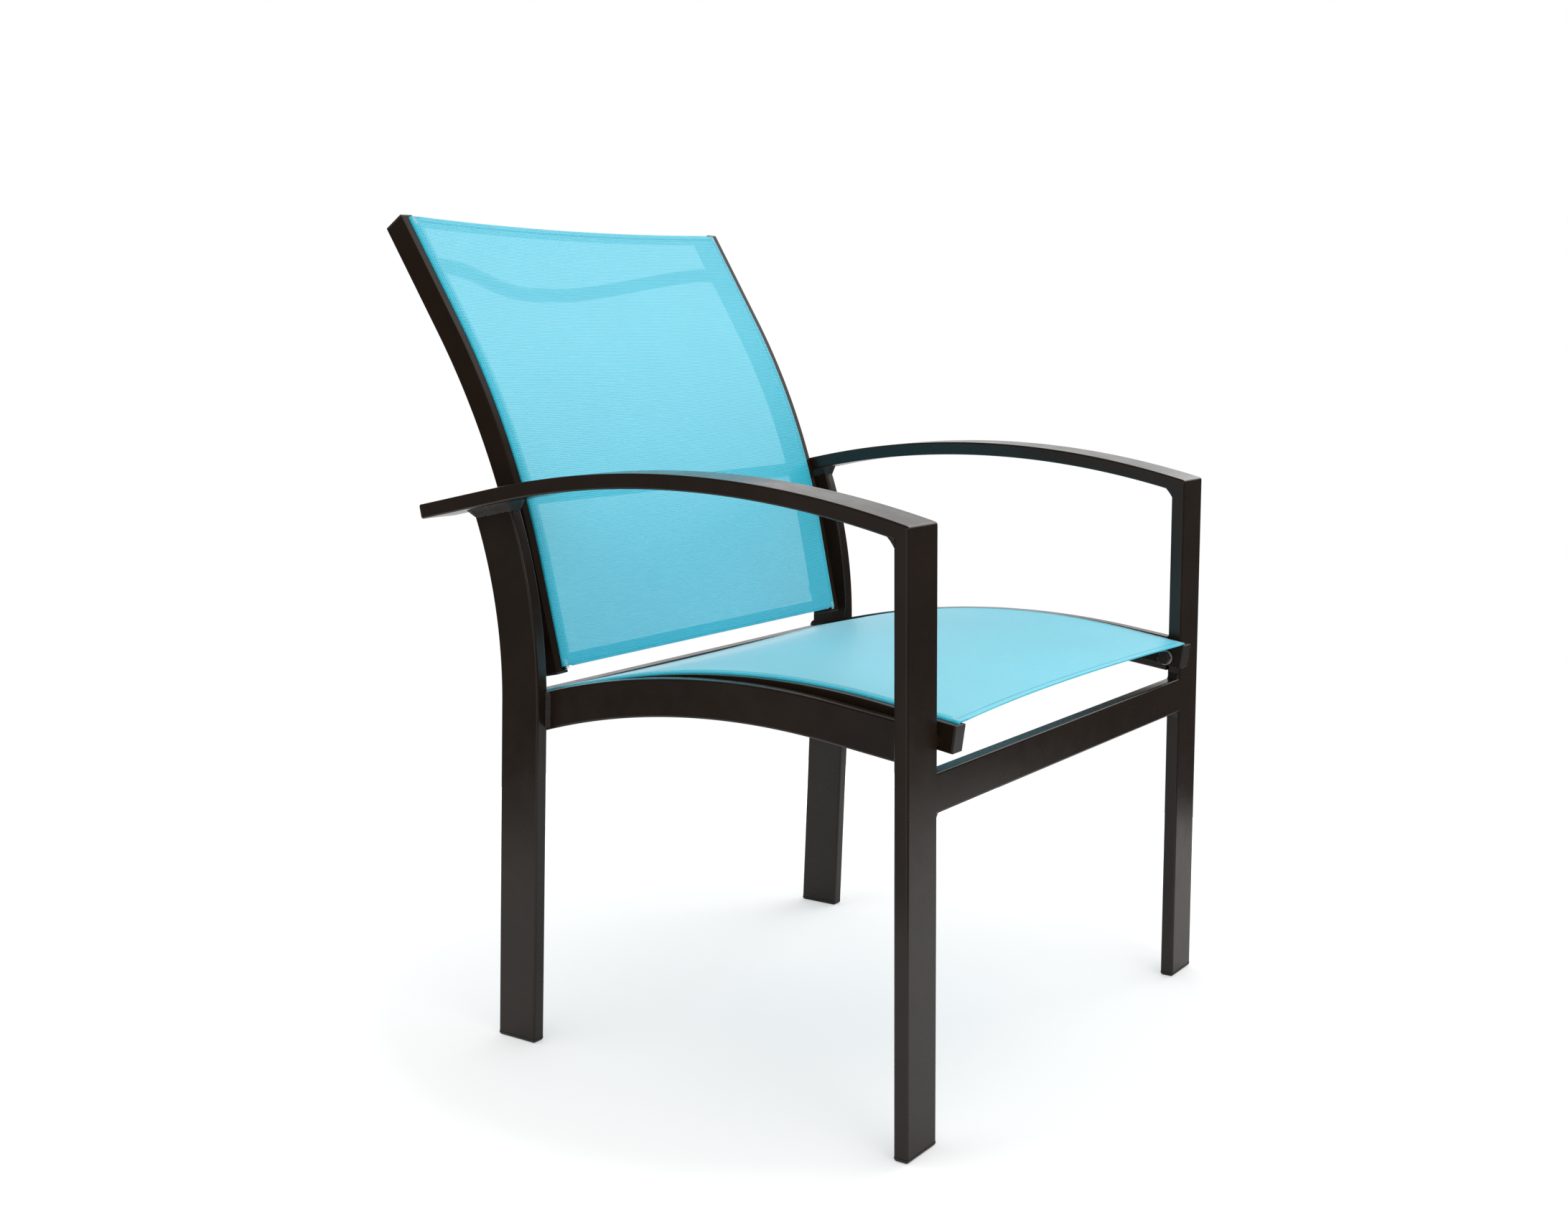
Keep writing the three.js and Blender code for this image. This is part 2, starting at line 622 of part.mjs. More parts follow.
// Rows: the facets of the rails that hold the sling, and the inner edge of each hem
function slingRows(length) {
  const facets = Array.from({ length: PATH_STEPS + 1 }, (_, j) => (length * j) / PATH_STEPS);
  return [...facets, HEM, length - HEM].sort((a, b) => a - b);
}

function buildSling(name, path, sag, hollow, turn) {
  const length = path.getLength();
  const outerFace = path.getPoint(0).x;
  const edge = outerFace - GROOVE_CENTRE + CLOTH / 2;
  const railInner = outerFace - SLING_RAIL_WIDTH;
  const columns = slingColumns(edge, railInner);
  const rows = slingRows(length);
  const cornerAt = (i, j, top) => {
    const x = columns[i];
    const onRail = Math.abs(x) >= railInner;
    const dip = onRail ? 0 : 1 - (x / railInner) ** 2;
    const share = rows[j] / length;
    const { point, face } = stationOf(path, hollow * dip + share * (length - hollow * dip));
    const fall = THREE.MathUtils.lerp(sag.from, sag.to, share);
    const belly = 4 * (sag.middle - (sag.from + sag.to) / 2) * share * (1 - share);
    const inHem = rows[j] <= HEM || rows[j] >= length - HEM;
    const fold = inHem && !onRail ? -CLOTH : 0;
    point.addScaledVector(face, GAP + (top ? CLOTH : fold) - (fall + belly) * dip);
    const held = point.setX(onRail ? Math.abs(x) : railInner).applyMatrix4(turn);
    return held.setX(onRail ? Math.sign(x) * held.x : (held.x * x) / railInner);
  };
  const cloth = solidOf(sheetOf(columns.length - 1, rows.length - 1, cornerAt));
  const pocket = swept(pocketSection(), path).applyMatrix4(turn);
  named(name + "_sling", geometryOf(cloth.add(solidOf(pocket)).add(solidOf(pocket, true))), "cloth");
}

// Spreaders
class BowedBar extends THREE.Curve {
  constructor(end, bow) {
    super();
    Object.assign(this, { end, bow });
  }

  getPoint(t, target = new THREE.Vector3()) {
    const x = THREE.MathUtils.lerp(-this.end.x, this.end.x, t);
    const share = 1 - THREE.MathUtils.smoothstep(
      Math.abs(x),
      SPREADER_FLAT_MIDDLE / 2,
      this.end.x - SPREADER_STRAIGHT_END,
    );
    return target.set(x, this.end.y + this.bow.y * share, this.end.z + this.bow.z * share);
  }
}

function buildSpreader(name, railPath, distance, turn, splayAngle, bow) {
  const face = placeOn(railPath, distance, SLING_RAIL_WIDTH, SPREADER_DEPTH).applyMatrix4(turn);
  const end = face.clone();
  end.x -= GAP + SPREADER_RADIUS * Math.tan(splayAngle);
  const section = sectionOf(circle(0, 0, SPREADER_RADIUS, ROUND_STEPS));
  const spigot = sectionOf(circle(0, 0, SPIGOT_RADIUS, ROUND_STEPS));
  const bar = bow ? swept(section, new BowedBar(end, bow)) : across(section, -end.x, end.x).translate(0, end.y, end.z);
  const right = across(spigot, -end.x - SPIGOT_LENGTH, SPREADER_STRAIGHT_END / 2 - end.x);
  const left = across(spigot, end.x - SPREADER_STRAIGHT_END / 2, end.x + SPIGOT_LENGTH);
  named(name, joined(bar, left.translate(0, end.y, end.z), right.translate(0, end.y, end.z)), "frame");
}

// Fasteners. A bolt's own origin is on the face under its head, and its shank runs along +X.
function boltOf(length) {
  const corner = BOLT_HEAD_FLATS / Math.sqrt(3);
  const head = rounded(sectionOf(circle(0, 0, corner, 6)), BOLT_HEAD_HEIGHT, BOLT_HEAD_EDGE)
    .applyMatrix4(toX)
    .translate(-BOLT_HEAD_HEIGHT, 0, 0);
  return joined(head, across(sectionOf(circle(0, 0, BOLT_RADIUS, ROUND_STEPS)), -BOLT_HEAD_HEIGHT / 2, length));
}

function ringOf(radius, length) {
  return across(sectionOf(circle(0, 0, radius, ROUND_STEPS), circle(0, 0, boltHole, ROUND_STEPS)), 0, length);
}

function buildSeatBolts(end, distance, frameFace) {
  const axis = placeOn(seatPath, distance, 0, BOLT_DEPTH);
  const railInner = axis.x - SLING_RAIL_WIDTH;
  const headFace = railInner - WASHER_THICKNESS - 2 * GAP;
  const at = (x) => new THREE.Vector3(x, axis.y, axis.z);
  const reach = frameFace + BOLT_ENGAGEMENT - headFace;
  pair("seat_bolt_" + end, boltOf(reach), "bolt", { place: at(headFace) });
  pair("seat_washer_" + end, ringOf(WASHER_RADIUS, WASHER_THICKNESS), "washer", { place: at(headFace + GAP) });
  const spacer = ringOf(SPACER_RADIUS, frameFace - axis.x - 2 * GAP);
  pair("seat_spacer_" + end, spacer, "plastic", { place: at(axis.x + GAP) });
}

function buildBackBolts(end, distance) {
  const axis = placeOn(backPath, distance, 0, BOLT_DEPTH);
  const frameGap = rearLegInner - axis.clone().applyMatrix4(splay).x;
  const headFace = axis.x - SLING_RAIL_WIDTH - GAP;
  const at = (x) => new THREE.Vector3(x, axis.y, axis.z);
  const length = GAP + SLING_RAIL_WIDTH + frameGap + BOLT_ENGAGEMENT;
  backPair("back_bolt_" + end, boltOf(length), "bolt", { place: at(headFace) });
  const tilt = SPACER_RADIUS * Math.tan(backSplay);
  backPair("back_spacer_" + end, ringOf(SPACER_RADIUS, frameGap - 2 * GAP - tilt), "plastic", { place: at(axis.x + GAP) });
}

// Assembly
const seatPath = crownPath({
  x: seatOuter,
  crest: SEAT_CREST,
  radius: SEAT_RADIUS,
  bendFrom: SEAT_BEND_FROM_Y,
  bendTo: SEAT_BEND_TO_Y,
  from: SEAT_FRONT_Y + CAP_PLATE + GAP,
  to: SEAT_REAR_Y - CAP_PLATE - GAP,
});

const backBendTop =
  BACK_FOOT.z +
  BACK_STRAIGHT * Math.cos(BACK_LEAN_LOW) +
  BACK_RADIUS * (Math.sin(BACK_LEAN_HIGH) - Math.sin(BACK_LEAN_LOW));
const backPath = risingPath({
  x: backOuter,
  foot: BACK_FOOT,
  radius: BACK_RADIUS,
  leanLow: BACK_LEAN_LOW,
  leanHigh: BACK_LEAN_HIGH,
  lead: BACK_STRAIGHT,
  tail: (BACK_FOOT.z + BACK_HEIGHT - backBendTop) / Math.cos(BACK_LEAN_HIGH) - CAP_PLATE - GAP,
  start: CAP_PLATE + GAP,
});

const seatBolts = { front: SEAT_BOLT_FRONT, rear: seatPath.getLength() - SEAT_BOLT_REAR };
const backSpreaders = { lower: LOWER_SPREADER_UP, upper: backPath.getLength() - UPPER_SPREADER_DOWN };
const noTurn = new THREE.Matrix4();
const backBores = [BACK_BOLT_LOW, BACK_BOLT_HIGH].map((distance) => {
  const axis = placeOn(backPath, distance, 0, BOLT_DEPTH);
  const frameGap = rearLegInner - axis.clone().applyMatrix4(splay).x;
  return boltBore(axis, axis.x + frameGap + BOLT_ENGAGEMENT + GAP).applyMatrix4(splay);
});

buildArm();
buildFrontLegs(placeOn(seatPath, seatBolts.front, 0, BOLT_DEPTH));
buildRearLegs(backBores);
buildSideRails(placeOn(seatPath, seatBolts.rear, 0, BOLT_DEPTH));
crossTube("front_apron", 0, APRON_TOP_Z, armInner - GAP);
crossTube("rear_crossbar", CROSSBAR_FRONT_Y, CROSSBAR_TOP_Z, rearLegInner - GAP);

buildSlingRails("seat", seatPath, Object.values(seatBolts), [SEAT_SPREADER_BACK], pair);
buildSlingRails("back", backPath, [BACK_BOLT_LOW, BACK_BOLT_HIGH], Object.values(backSpreaders), backPair);
const seatSag = { from: SEAT_SAG_FRONT, middle: SEAT_SAG_MIDDLE, to: 0 };
const backSag = { from: 0, middle: BACK_SAG_MIDDLE, to: BACK_SAG_TOP };
buildSling("seat", seatPath, seatSag, SEAT_FRONT_HOLLOW, noTurn);
buildSling("back", backPath, backSag, 0, splay);
buildSpreader("seat_spreader", seatPath, SEAT_SPREADER_BACK, noTurn, 0, SEAT_SPREADER_BOW);
buildSpreader("lower_back_spreader", backPath, backSpreaders.lower, splay, backSplay);
buildSpreader("upper_back_spreader", backPath, backSpreaders.upper, splay, backSplay, UPPER_SPREADER_BOW);

buildSeatBolts("front", seatBolts.front, armInner);
buildSeatBolts("rear", seatBolts.rear, sideRailInner);
buildBackBolts("low", BACK_BOLT_LOW);
buildBackBolts("high", BACK_BOLT_HIGH);

// The origin is the middle of the chair's footprint, on the floor
const bounds = new THREE.Box3().setFromObject(chair, true);
chair.position.y = -(bounds.min.y + bounds.max.y) / 2;

export default chair;
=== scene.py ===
# %% [markdown]
# # A patio sling chair, dressed for a product photograph
# The chair is two mesh slings stretched between grooved aluminium rails, on a welded tube frame. The tubes
# and fasteners come in as the fixed frame, at their real size. This script dresses them: smooth tubes with
# their weld beads, the cloth with its hems and stitching, and every finish. Lengths are metres. +X is the
# sitter's left, +Y the back of the chair and +Z up.

import math

import bmesh
import bpy
from mathutils import Matrix, Vector, noise


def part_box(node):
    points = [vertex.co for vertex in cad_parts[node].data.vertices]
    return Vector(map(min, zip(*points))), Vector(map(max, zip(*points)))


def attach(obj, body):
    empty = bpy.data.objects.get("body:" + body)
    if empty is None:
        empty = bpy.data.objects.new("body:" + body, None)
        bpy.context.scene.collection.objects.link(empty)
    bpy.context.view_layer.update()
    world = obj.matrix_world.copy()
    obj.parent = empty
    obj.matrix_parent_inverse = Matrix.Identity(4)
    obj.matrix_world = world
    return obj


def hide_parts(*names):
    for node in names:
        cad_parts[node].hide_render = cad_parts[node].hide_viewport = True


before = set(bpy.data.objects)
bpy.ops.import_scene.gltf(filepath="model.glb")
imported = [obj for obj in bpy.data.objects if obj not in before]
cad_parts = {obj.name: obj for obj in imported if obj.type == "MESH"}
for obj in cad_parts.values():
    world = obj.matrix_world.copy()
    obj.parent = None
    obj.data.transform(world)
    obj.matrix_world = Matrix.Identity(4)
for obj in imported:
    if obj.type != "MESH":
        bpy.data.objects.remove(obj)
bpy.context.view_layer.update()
MM = 0.001

# %% [markdown]
# ## Camera
# The camera stands where the photograph was taken from: in front of the chair, to its right, at back
# height. It could be turned by hand until the picture looks right, but then nothing tells which edge is
# off. Its place was solved from the chair's own edges instead, and it is given from the front legs' front
# face.

# %% Place the camera
IMAGE_WIDTH = 2184
SENSOR = 36.0
FOCAL_IN_FRAME_WIDTHS = 2538.87 / IMAGE_WIDTH
CENTRE_LIFT = 26.37 / IMAGE_WIDTH
CAMERA_RIGHT_OF_CHAIR = 1632.3 * MM
CAMERA_IN_FRONT = 797.0 * MM
CAMERA_HEIGHT = 728.1 * MM
CAMERA_YAW = math.radians(54.814)
CAMERA_PITCH = math.radians(-8.850)
CAMERA_ROLL = math.radians(-0.531)

legs_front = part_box("left_front_leg")[0].y


def make_camera():
    """A camera at the photograph's place, aimed by yaw, pitch and roll."""
    data = bpy.data.cameras.new("camera")
    data.sensor_width = SENSOR
    data.lens = FOCAL_IN_FRAME_WIDTHS * SENSOR
    data.shift_y = CENTRE_LIFT
    camera = bpy.data.objects.new("camera", data)
    bpy.context.scene.collection.objects.link(camera)
    aim = Vector((math.sin(CAMERA_YAW) * math.cos(CAMERA_PITCH),
                  math.cos(CAMERA_YAW) * math.cos(CAMERA_PITCH),
                  math.sin(CAMERA_PITCH)))
    level = Vector((math.cos(CAMERA_YAW), -math.sin(CAMERA_YAW), 0))
    lift = level.cross(aim)
    right = level * math.cos(CAMERA_ROLL) + lift * math.sin(CAMERA_ROLL)
    up = lift * math.cos(CAMERA_ROLL) - level * math.sin(CAMERA_ROLL)
    turn = Matrix((right, up, -aim)).transposed().to_4x4()
    place = Vector((-CAMERA_RIGHT_OF_CHAIR, legs_front - CAMERA_IN_FRONT, CAMERA_HEIGHT))
    camera.matrix_world = Matrix.Translation(place) @ turn
    bpy.context.scene.camera = camera
    return camera


camera = make_camera()
print("camera at", [round(v, 3) for v in camera.location], "lens", round(camera.data.lens, 2))

# %% [markdown]
# ## Shader graphs in few words
# Materials, floor and world are all node graphs. They could be wired node by node, but the wiring would
# hide the idea. This helper adds a node, feeds its inputs and gives its output, so that a graph reads as a
# list of what happens to the light.

# %% Short calls for shader nodes
def socket(node, name):
    """An input by its name, whichever of the sockets with that name is in use."""
    return next(s for s in node.inputs if s.name == name and s.enabled)


class Graph:
    """Short calls for the nodes of one tree. A value may be a number or another node's output."""

    def __init__(self, tree):
        self.tree = tree

    def node(self, kind, inputs=None, **settings):
        node = self.tree.nodes.new(kind)
        for key, value in settings.items():
            setattr(node, key, value)
        for key, value in (inputs or {}).items():
            target = node.inputs[key] if isinstance(key, int) else socket(node, key)
            self.feed(target, value)
        return node

    def feed(self, target, value):
        if isinstance(value, bpy.types.NodeSocket):
            self.tree.links.new(value, target)
        else:
            target.default_value = value

    def feed_all(self, targets, values):
        for key, value in values.items():
            self.feed(targets[key], value)

    def math(self, operation, *values):
        inputs = dict(enumerate(values))
        return self.node("ShaderNodeMath", inputs, operation=operation).outputs[0]

    def range(self, value, low, high, to_low=0.0, to_high=1.0):
        inputs = {"Value": value, "From Min": low, "From Max": high, "To Min": to_low, "To Max": to_high}
        return self.node("ShaderNodeMapRange", inputs, clamp=True).outputs["Result"]

    def mix(self, share, first, second):
        inputs = {"Factor": share, "A": first, "B": second}
        node = self.node("ShaderNodeMix", inputs, data_type="RGBA")
        return next(s for s in node.outputs if s.enabled)

    def noise(self, vector, scale, detail=2.0, roughness=0.5):
        inputs = {"Vector": vector, "Scale": scale, "Detail": detail, "Roughness": roughness}
        return self.node("ShaderNodeTexNoise", inputs).outputs[0]

    def stretched_noise(self, vector, factors, detail=2.0, roughness=0.5):
        stretched = self.node("ShaderNodeMapping", {"Vector": vector, "Scale": factors}).outputs["Vector"]
        return self.noise(stretched, 1.0, detail, roughness)

    def bump(self, height, strength, distance):
        inputs = {"Height": height, "Strength": strength, "Distance": distance}
        return self.node("ShaderNodeBump", inputs).outputs["Normal"]


def blank_graph(tree):
    tree.nodes.clear()
    return Graph(tree)


# %% [markdown]
# ## Studio
# A product photographer stands the chair on white, before a white backdrop, in a room that is otherwise
# dim. The backdrop shows in the arms' tops, seen at a glancing angle, and the dim room in the legs' faces:
# that is what makes one dark finish look silver in one place and nearly black in another. Real walls would
# do, but they would also have to be hidden from the camera. A world is simpler, since it can tell one ray
# from another. It is plain white to the camera. To reflections it is a dim room with two pale walls, the
# backdrop and a weaker one at the chair's right. To everything else it is an even glow from all round.

# %% The world
BACKDROP_WHITE = 1.0
ROOM_GLOW = 1.15
ROOM_IN_MIRROR = 0.05
SIDE_WALL_WHITE = 0.5
BACKDROP_HEADING = (math.sin(CAMERA_YAW), math.cos(CAMERA_YAW), 0)
BACKDROP_FROM, BACKDROP_FULL = 0.72, 0.9
SIDE_WALL_HEADING = (-1, 0, 0)
SIDE_WALL_FROM, SIDE_WALL_FULL = 0.78, 0.95


def make_world():
    """White to the camera, pale walls and a dim room to reflections, and a soft glow to everything else."""
    world = bpy.data.worlds.new("studio")
    bpy.context.scene.world = world
    world.use_nodes = True
    graph = blank_graph(world.node_tree)
    path = graph.node("ShaderNodeLightPath").outputs
    heading = graph.node("ShaderNodeTexCoord").outputs["Generated"]

    def wall(towards, start, full, white):
        facing = graph.node("ShaderNodeVectorMath", {0: heading, 1: towards}, operation="DOT_PRODUCT")
        return graph.range(facing.outputs["Value"], start, full, ROOM_IN_MIRROR, white)

    backdrop = wall(BACKDROP_HEADING, BACKDROP_FROM, BACKDROP_FULL, BACKDROP_WHITE)
    side_wall = wall(SIDE_WALL_HEADING, SIDE_WALL_FROM, SIDE_WALL_FULL, SIDE_WALL_WHITE)
    mirrored = graph.math("MAXIMUM", backdrop, side_wall)
    reflected = graph.math("MAXIMUM", path["Is Glossy Ray"], path["Is Transmission Ray"])
    glow = graph.math("MULTIPLY", graph.math("SUBTRACT", 1.0, reflected), ROOM_GLOW)
    others = graph.math("MULTIPLY_ADD", reflected, mirrored, glow)
    unseen = graph.math("SUBTRACT", 1.0, path["Is Camera Ray"])
    seen = graph.math("MULTIPLY", path["Is Camera Ray"], BACKDROP_WHITE)
    strength = graph.math("MULTIPLY_ADD", others, unseen, seen)
    sky = graph.node("ShaderNodeBackground", {"Color": (1, 1, 1, 1), "Strength": strength})
    graph.node("ShaderNodeOutputWorld", {"Surface": sky.outputs["Background"]})


make_world()
print("world:", bpy.context.scene.world.name, "with a glow of", ROOM_GLOW)

# %% [markdown]
# The floor is a white sheet. It takes the chair's shadow as any pale floor does. The camera also sees a
# little light of its own in it, more with distance, so that the sheet runs out into the backdrop's white
# without an edge. A curved sheet that rises behind the chair would do the same, but it would shade the
# chair from the world's glow.

# %% The floor
FLOOR_SIZE = 1.9
FLOOR_PALE = (0.55, 0.55, 0.55, 1)
LIFT_NEAR, LIFT_FAR = 0.4, 1.0
LIFT_FROM, LIFT_TO = 0.45, 0.95


def make_floor():
    """A pale floor whose shadow stays faint and whose far part is as white as the backdrop."""
    bpy.ops.mesh.primitive_plane_add(size=FLOOR_SIZE, location=(0, 0, 0))
    floor = bpy.context.object
    floor.name = "floor"
    material = bpy.data.materials.new("floor")
    material.use_nodes = True
    graph = blank_graph(material.node_tree)
    path = graph.node("ShaderNodeLightPath").outputs
    place = graph.node("ShaderNodeTexCoord").outputs["Object"]
    away = graph.node("ShaderNodeVectorMath", {0: place}, operation="LENGTH").outputs["Value"]
    lift = graph.range(away, LIFT_FROM, LIFT_TO, LIFT_NEAR, LIFT_FAR)
    strength = graph.math("MULTIPLY", path["Is Camera Ray"], lift)
    pale = graph.node("ShaderNodeBsdfDiffuse", {"Color": FLOOR_PALE})
    white = graph.node("ShaderNodeEmission", {"Strength": strength})
    both = graph.node("ShaderNodeAddShader", {0: pale.outputs["BSDF"], 1: white.outputs["Emission"]})
    graph.node("ShaderNodeOutputMaterial", {"Surface": both.outputs["Shader"]})
    floor.data.materials.append(material)


make_floor()
print("floor", FLOOR_SIZE, "m wide")

# %% [markdown]
# Two square soft lights model the shapes: a weak one in front, and a strong one high at the chair's left,
# which makes the edge of each tube stand out. A lamp as small as a bulb would throw hard shadows of the
# rails on the cloth.

# %% The lights
SEAT_MIDDLE = (0, 0, 0.42)
LIGHTS = {
    "front_soft": {"place": (-1.2, -2.6, 1.5), "size": 1.2, "power": 10},
    "left_soft": {"place": (2.45, -0.45, 2.25), "size": 2.2, "power": 31},
}


def make_light(name, place, size, power):
    """A square soft light that faces the seat."""
    data = bpy.data.lights.new(name, "AREA")
    data.size = size
    data.energy = power
    light = bpy.data.objects.new(name, data)
    bpy.context.scene.collection.objects.link(light)
    light.location = place
    light.rotation_euler = (Vector(SEAT_MIDDLE) - Vector(place)).to_track_quat("-Z", "Y").to_euler()


for name, light in LIGHTS.items():
    make_light(name, **light)
    print(name, light["size"], "m wide,", light["power"], "W")
bpy.context.scene.view_settings.view_transform = "Standard"

# %% [markdown]
# ## Paths in the side view
# Every tube and rail of this chair is one section bent along one curve: straight, arc, straight. The
# frame's meshes hold these curves as many small facets, from which nothing can be measured well. So the few
# sizes that shape the frame are given here again, because the tubes, the welds and the cloth all need them.

# %% A path of straight, arc and straight
GAP = 0.3 * MM
CAP_PLATE = 2.6 * MM
QUARTER = math.pi / 2


class Profile:
    """A path in the side view. Angles are those of the face's normal, from straight up towards the back."""

    def __init__(self, centre, radius, start, end, lead, tail):
        self.centre, self.radius = Vector((0, *centre)), radius
        self.start, self.end, self.lead, self.tail = start, end, lead, tail
        self.length = lead + radius * (end - start) + tail

    def at(self, s):
        """The point at a distance along the path, and its face normal and heading."""
        bent = min(max(s - self.lead, 0), self.radius * (self.end - self.start))
        angle = self.start + bent / self.radius
        normal = Vector((0, math.sin(angle), math.cos(angle)))
        heading = Vector((0, math.cos(angle), -math.sin(angle)))
        straight = min(s - self.lead, 0) + max(s - self.length + self.tail, 0)
        return self.centre + normal * self.radius + heading * straight, normal, heading

    def depth_of(self, point):
        """How deep a point lies below the path."""
        away = Vector((0, point.y, point.z)) - self.centre
        angle = min(max(math.atan2(away.y, away.z), self.start), self.end)
        return self.radius - away.dot(Vector((0, math.sin(angle), math.cos(angle))))


# %% Two ways to lay a path
def over_crest(crest, radius, bend, ends):
    """A path over a crest, bent between two places and straight outside them."""
    a, b = (math.asin((y - crest[0]) / radius) for y in bend)
    lead = (bend[0] - ends[0]) / math.cos(a)
    tail = (ends[1] - bend[1]) / math.cos(b)
    return Profile((crest[0] + legs_front, crest[1] - radius), radius, a, b, lead, tail)


def rising(foot, height, radius, leans, lead, trim=0):
    """A rising path that leans by one angle below its bend and by another above it."""
    low, high = leans
    y = foot[0] + lead * math.sin(low) + radius * math.cos(low)
    z = foot[1] + lead * math.cos(low) - radius * math.sin(low)
    tail = (foot[1] + height - z - radius * math.sin(high)) / math.cos(high)
    return Profile((y + legs_front, z), radius, low - QUARTER, high - QUARTER, lead - trim, tail - trim)


# %% [markdown]
# The arms and both sling rails are alike on both sides. The side rails aren't: in the photograph the left
# one is bent less and lies a little higher than the right one, so each has sizes of its own.

# %% The arm, the side rails and the rear leg
ARM_CREST = (272 * MM, 607.5 * MM)
ARM_RADIUS = 1060 * MM
ARM_BEND = (0, 480 * MM)
ARM_REAR = 587.5 * MM
TUBE = 15 * MM
CROSSBAR_FRONT = 488.7 * MM
RAIL_REAR = CROSSBAR_FRONT + TUBE
SIDE_RAILS = {
    "left": {"crest": (200 * MM, 412.4 * MM), "radius": 1040 * MM, "bend": (58 * MM, RAIL_REAR)},
    "right": {"crest": (217 * MM, 409.3 * MM), "radius": 880 * MM, "bend": (105 * MM, RAIL_REAR)},
}
LEG_FOOT = (473.6 * MM, 0)
LEG_BEND = 360 * MM
LEG_RADIUS = 528 * MM
LEG_LEAN = math.radians(-3.09)
LEG_TOP_LEAN = math.asin((ARM_CREST[1] - LEG_BEND) / LEG_RADIUS + math.sin(LEG_LEAN))

arm_profile = over_crest(ARM_CREST, ARM_RADIUS, ARM_BEND, ends=(0, ARM_REAR - CAP_PLATE - GAP))
side_rail_profiles = {side: over_crest(ends=(0, RAIL_REAR), **sizes) for side, sizes in SIDE_RAILS.items()}
rear_leg_profile = rising(LEG_FOOT, height=ARM_CREST[1], radius=LEG_RADIUS, leans=(LEG_LEAN, LEG_TOP_LEAN),
                          lead=LEG_BEND / math.cos(LEG_LEAN))
print("arm", round(arm_profile.length, 4), "rear leg", round(rear_leg_profile.length, 4),
      "side rails", [round(profile.length, 4) for profile in side_rail_profiles.values()])

# %% The sling rails
SEAT_CREST = (195 * MM, 413 * MM)
SEAT_RADIUS = 900 * MM
SEAT_BEND = (58 * MM, 400 * MM)
SEAT_FRONT, SEAT_REAR = -15.2 * MM, 486 * MM
BACK_FOOT = (454.2 * MM, 392 * MM)
BACK_HEIGHT = 470.5 * MM
BACK_RADIUS = 788 * MM
BACK_LEANS = (math.radians(12.12), math.radians(31.89))
BACK_LEAD = 113.4 * MM
BACK_SPLAY = 9.65 * MM

seat_ends = (SEAT_FRONT + CAP_PLATE + GAP, SEAT_REAR - CAP_PLATE - GAP)
seat_profile = over_crest(SEAT_CREST, SEAT_RADIUS, SEAT_BEND, seat_ends)
back_profile = rising(BACK_FOOT, BACK_HEIGHT, BACK_RADIUS, BACK_LEANS, BACK_LEAD, trim=CAP_PLATE + GAP)
print("seat rail", round(seat_profile.length, 4), "back rail", round(back_profile.length, 4))

# %% [markdown]
# A run puts such a path at its place across the chair. A point on it is told by how far inward it is from
# the outer face, how high above the face, and how far along. The back rails also lean outward towards their
# tops.

# %% Runs across the chair
class Run:
    """One left tube or rail: its path, where its outer face stands, and its splay about its foot."""

    def __init__(self, profile, outer, foot=0.0, splay=0.0):
        self.profile, self.outer, self.foot, self.splay = profile, outer, foot, splay
        self.length = profile.length

    def at(self, inward, height, s):
        point, normal, _ = self.profile.at(s)
        point = point + normal * height
        rise = point.z - self.foot
        x = self.outer - inward * math.cos(self.splay) + rise * math.sin(self.splay)
        z = self.foot + inward * math.sin(self.splay) + rise * math.cos(self.splay)
        return Vector((x, point.y, z))


BROAD = 50.8 * MM
SEAT_RAIL_STANDOFF = 1.5 * MM
BACK_RAIL_STANDOFF = 15.9 * MM
chair_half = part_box("left_arm")[1].x
arm_inner = chair_half - BROAD
leg_outer = chair_half - BROAD / 2
leg_inner = leg_outer - TUBE
side_rail_outer = leg_inner - GAP
seat_outer = side_rail_outer - TUBE - SEAT_RAIL_STANDOFF
back_outer = leg_inner - BACK_RAIL_STANDOFF

arm_run = Run(arm_profile, chair_half)
rear_leg_run = Run(rear_leg_profile, leg_outer)
side_rail_runs = {side: Run(profile, side_rail_outer) for side, profile in side_rail_profiles.items()}
seat_run = Run(seat_profile, seat_outer)
back_run = Run(back_profile, back_outer, BACK_FOOT[1], math.atan2(BACK_SPLAY, BACK_HEIGHT))
print("seat rail's outer face", round(seat_outer, 4), "back rail's", round(back_outer, 4))

# %% [markdown]
# ## Finishes
# Each effect that several pieces share is a node group that gives out colours, masks and normals. A
# material then needs only its own colours and amounts, and a better film or weave reaches every piece at
# once.

# %% Groups and materials
COLOUR, NUMBER, VECTOR = "NodeSocketColor", "NodeSocketFloat", "NodeSocketVector"


def node_group(name, inputs, outputs):
    """An empty shader group with named sockets: the group, its graph, what it is given and what it gives."""
    group = bpy.data.node_groups.new(name, "ShaderNodeTree")
    for key, kind in inputs.items():
        group.interface.new_socket(key, in_out="INPUT", socket_type=kind)
    for key, kind in outputs.items():
        group.interface.new_socket(key, in_out="OUTPUT", socket_type=kind)
    given = group.nodes.new("NodeGroupInput").outputs
    return group, Graph(group), given, group.nodes.new("NodeGroupOutput").inputs


def grouped(graph, group, inputs):
    return graph.node("ShaderNodeGroup", inputs, node_tree=group).outputs


